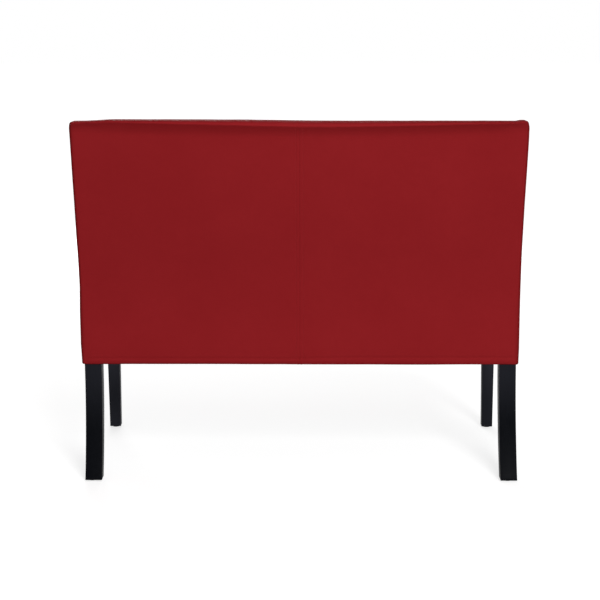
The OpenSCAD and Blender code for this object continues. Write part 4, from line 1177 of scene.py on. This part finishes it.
def softened(name, node, finish, slot, size, inset, noise, seed, voxel=None):
    """A soft piece from its CAD solid: finer, slightly smaller and uneven."""
    obj = link(name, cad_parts[node].data.copy())
    obj.data.materials.clear()
    if voxel:
        remesh = obj.modifiers.new("even", "REMESH")
        remesh.mode, remesh.voxel_size = "VOXEL", voxel * 0.001
        evaluated = obj.evaluated_get(bpy.context.evaluated_depsgraph_get())
        obj.data = bpy.data.meshes.new_from_object(evaluated)
        obj.modifiers.clear()
    else:
        work = bmesh.new()
        work.from_mesh(obj.data)
        bmesh.ops.remove_doubles(work, verts=work.verts, dist=1e-6)
        for _ in range(6):
            long_edges = [e for e in work.edges if e.calc_length() > size * 0.001]
            if not long_edges:
                break
            bmesh.ops.subdivide_edges(work, edges=long_edges, cuts=1)
            bmesh.ops.triangulate(work, faces=[f for f in work.faces if len(f.verts) > 4])
        work.to_mesh(obj.data)
        work.free()
    mesh = obj.data
    place = read_points(mesh.vertices) * 1000
    push = -inset + noise * soft_noise(place, size * 3, seed)
    place = place + read_points(mesh.vertices, "normal") * push[:, None]
    mesh.vertices.foreach_set("co", (place * 0.001).ravel())
    mesh.shade_smooth()
    mesh.set_sharp_from_angle(angle=radians(50))
    mesh.update()
    return finish_piece(obj, finish, slot, node)


softened("foam_seat", "seat_foam", foam, "foam", 9, 0.6, 0.4, 81, voxel=8)
softened("foam_back", "back_foam", foam, "foam", 9, 0.6, 0.4, 82, voxel=8)
for place in ("border_padding_front", "border_padding_left", "border_padding_right",
              "back_padding_left", "back_padding_right"):
    piece = softened(f"soft_{place}", place, wadding, "wadding", 26, 0.25, 0.2, 83)
for place in ("seat_webbing_long", "seat_webbing_cross", "back_webbing"):
    softened(f"woven_{place}", place, jute, "webbing", 30, 0.02, 0.0, 84)
piece = softened("cloth_deck_felt", "seat_deck_felt", felt, "felt", 24, 0.02, 0.04, 85)
piece = softened("cloth_dust_cover", "dust_cover", dust_cloth, "dust_cloth", 24, 0.01, 0.05, 86)

# ---- finishes of the CAD nodes
CAD_FINISHES = (
    (("seat_rail_front", "seat_rail_rear", "back_top_rail", "back_lower_rail"), frame_wood["X"]),
    (("seat_rail_left", "seat_rail_right", "seat_bearer"), frame_wood["Y"]),
    ("back_centre_post", frame_wood["Z"]),
    ("corner_block", frame_wood["X"]),
    ("frame_dowels", dowel_wood),
    (("corner_screws", "webbing_staples"), steel),
    ("back_liner", hardboard),
    ("foot_glide", plastic),
)
for name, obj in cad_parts.items():
    for starts, finish in CAD_FINISHES:
        if name.startswith(starts):
            obj.data.materials.clear()
            obj.data.materials.append(finish)


# ---- floor, light and camera
def seen_directly(tree):
    """1 for what the camera sees straight, in a reflection or through something, and 0 for light."""
    path = add_node(tree, "LightPath")
    result = path["Is Camera Ray"]
    for kind in ("Is Glossy Ray", "Is Transmission Ray"):
        inputs = {0: result, 1: path[kind]}
        result = add_node(tree, "Math", inputs, operation="MAXIMUM")[0]
    return result


floor_mesh = bpy.data.meshes.new("floor")
floor_corners = [(-30, -30, 0), (30, -30, 0), (30, 30, 0), (-30, 30, 0)]
floor_mesh.from_pydata(floor_corners, [], [(0, 1, 2, 3)])
floor = link("floor", floor_mesh)
paint = Finish("floor_paint", 0.1, Roughness=0.9)
paint.put("Base Color", paint.blend(paint.noise(1.5, 3.0), (0.44, 0.44, 0.44), (0.46, 0.46, 0.46)))
paint.put("Emission Color", (1, 1, 1, 1))
# The floor glows more away from the middle, so that it ends in white as the photograph's ground does
far = paint.add("VectorMath", {0: paint.place}, operation="LENGTH")["Value"]
glow = paint.maths("MULTIPLY", seen_directly(paint.tree), paint.span(far, 0.66, 0.92, 1.6, 7.0))
paint.put("Emission Strength", glow)
floor_mesh.materials.append(paint.material)

world = scene.world or bpy.data.worlds.new("world")
scene.world = world
world.use_nodes = True
tree = world.node_tree
tree.nodes.clear()
inputs = {"Value": seen_directly(tree), "To Min": 0.32, "To Max": 1.0}
strength = add_node(tree, "MapRange", inputs)["Result"]
inputs = {"Color": (1, 1, 1, 1), "Strength": strength}
background = add_node(tree, "Background", inputs)["Background"]
add_node(tree, "OutputWorld", {"Surface": background})


def lamp(name, place, aim, size, power):
    data = bpy.data.lights.new(name, "AREA")
    data.shape, data.size, data.energy = "DISK", size, power
    obj = link(name, data)
    obj.location = place
    obj.rotation_mode = "QUATERNION"
    obj.rotation_quaternion = (Vector(aim) - Vector(place)).to_track_quat("-Z", "Y")


lamp("lamp_rear", (-1.3, 4.4, 3.0), (0, 0.2, 0.75), 1.8, 207)
lamp("lamp_rear_low", (1.2, 4.4, 1.2), (0, 0.2, 0.6), 2.0, 16)
lamp("lamp_above", (0, -0.5, 4.2), (0, 0, 0.5), 2.4, 11)
lamp("lamp_front", (0.8, -4.4, 2.0), (0, 0, 0.5), 2.4, 110)

# The camera's place and angles, as fitted to the photograph's outline
EYE = (-0.03107, 4.22605, 1.2629)
YAW, PITCH, ROLL = 0.00755, 0.19032, -0.00084
camera_data = bpy.data.cameras.new("camera")
camera_data.sensor_fit = "HORIZONTAL"
camera_data.sensor_width = 36
camera_data.lens = 91.46
camera = link("camera", camera_data)
scene.camera = camera
level = cos(PITCH)
ahead = Vector((sin(YAW) * level, -cos(YAW) * level, -sin(PITCH)))
flat_right = ahead.cross(Vector((0, 0, 1))).normalized()
flat_up = flat_right.cross(ahead)
right = flat_right * cos(ROLL) + flat_up * sin(ROLL)
up = flat_up * cos(ROLL) - flat_right * sin(ROLL)
turn = Matrix((right, up, -ahead)).transposed().to_4x4()
camera.matrix_world = Matrix.Translation(EYE) @ turn

scene.view_settings.view_transform = "Standard"

bpy.context.view_layer.update()
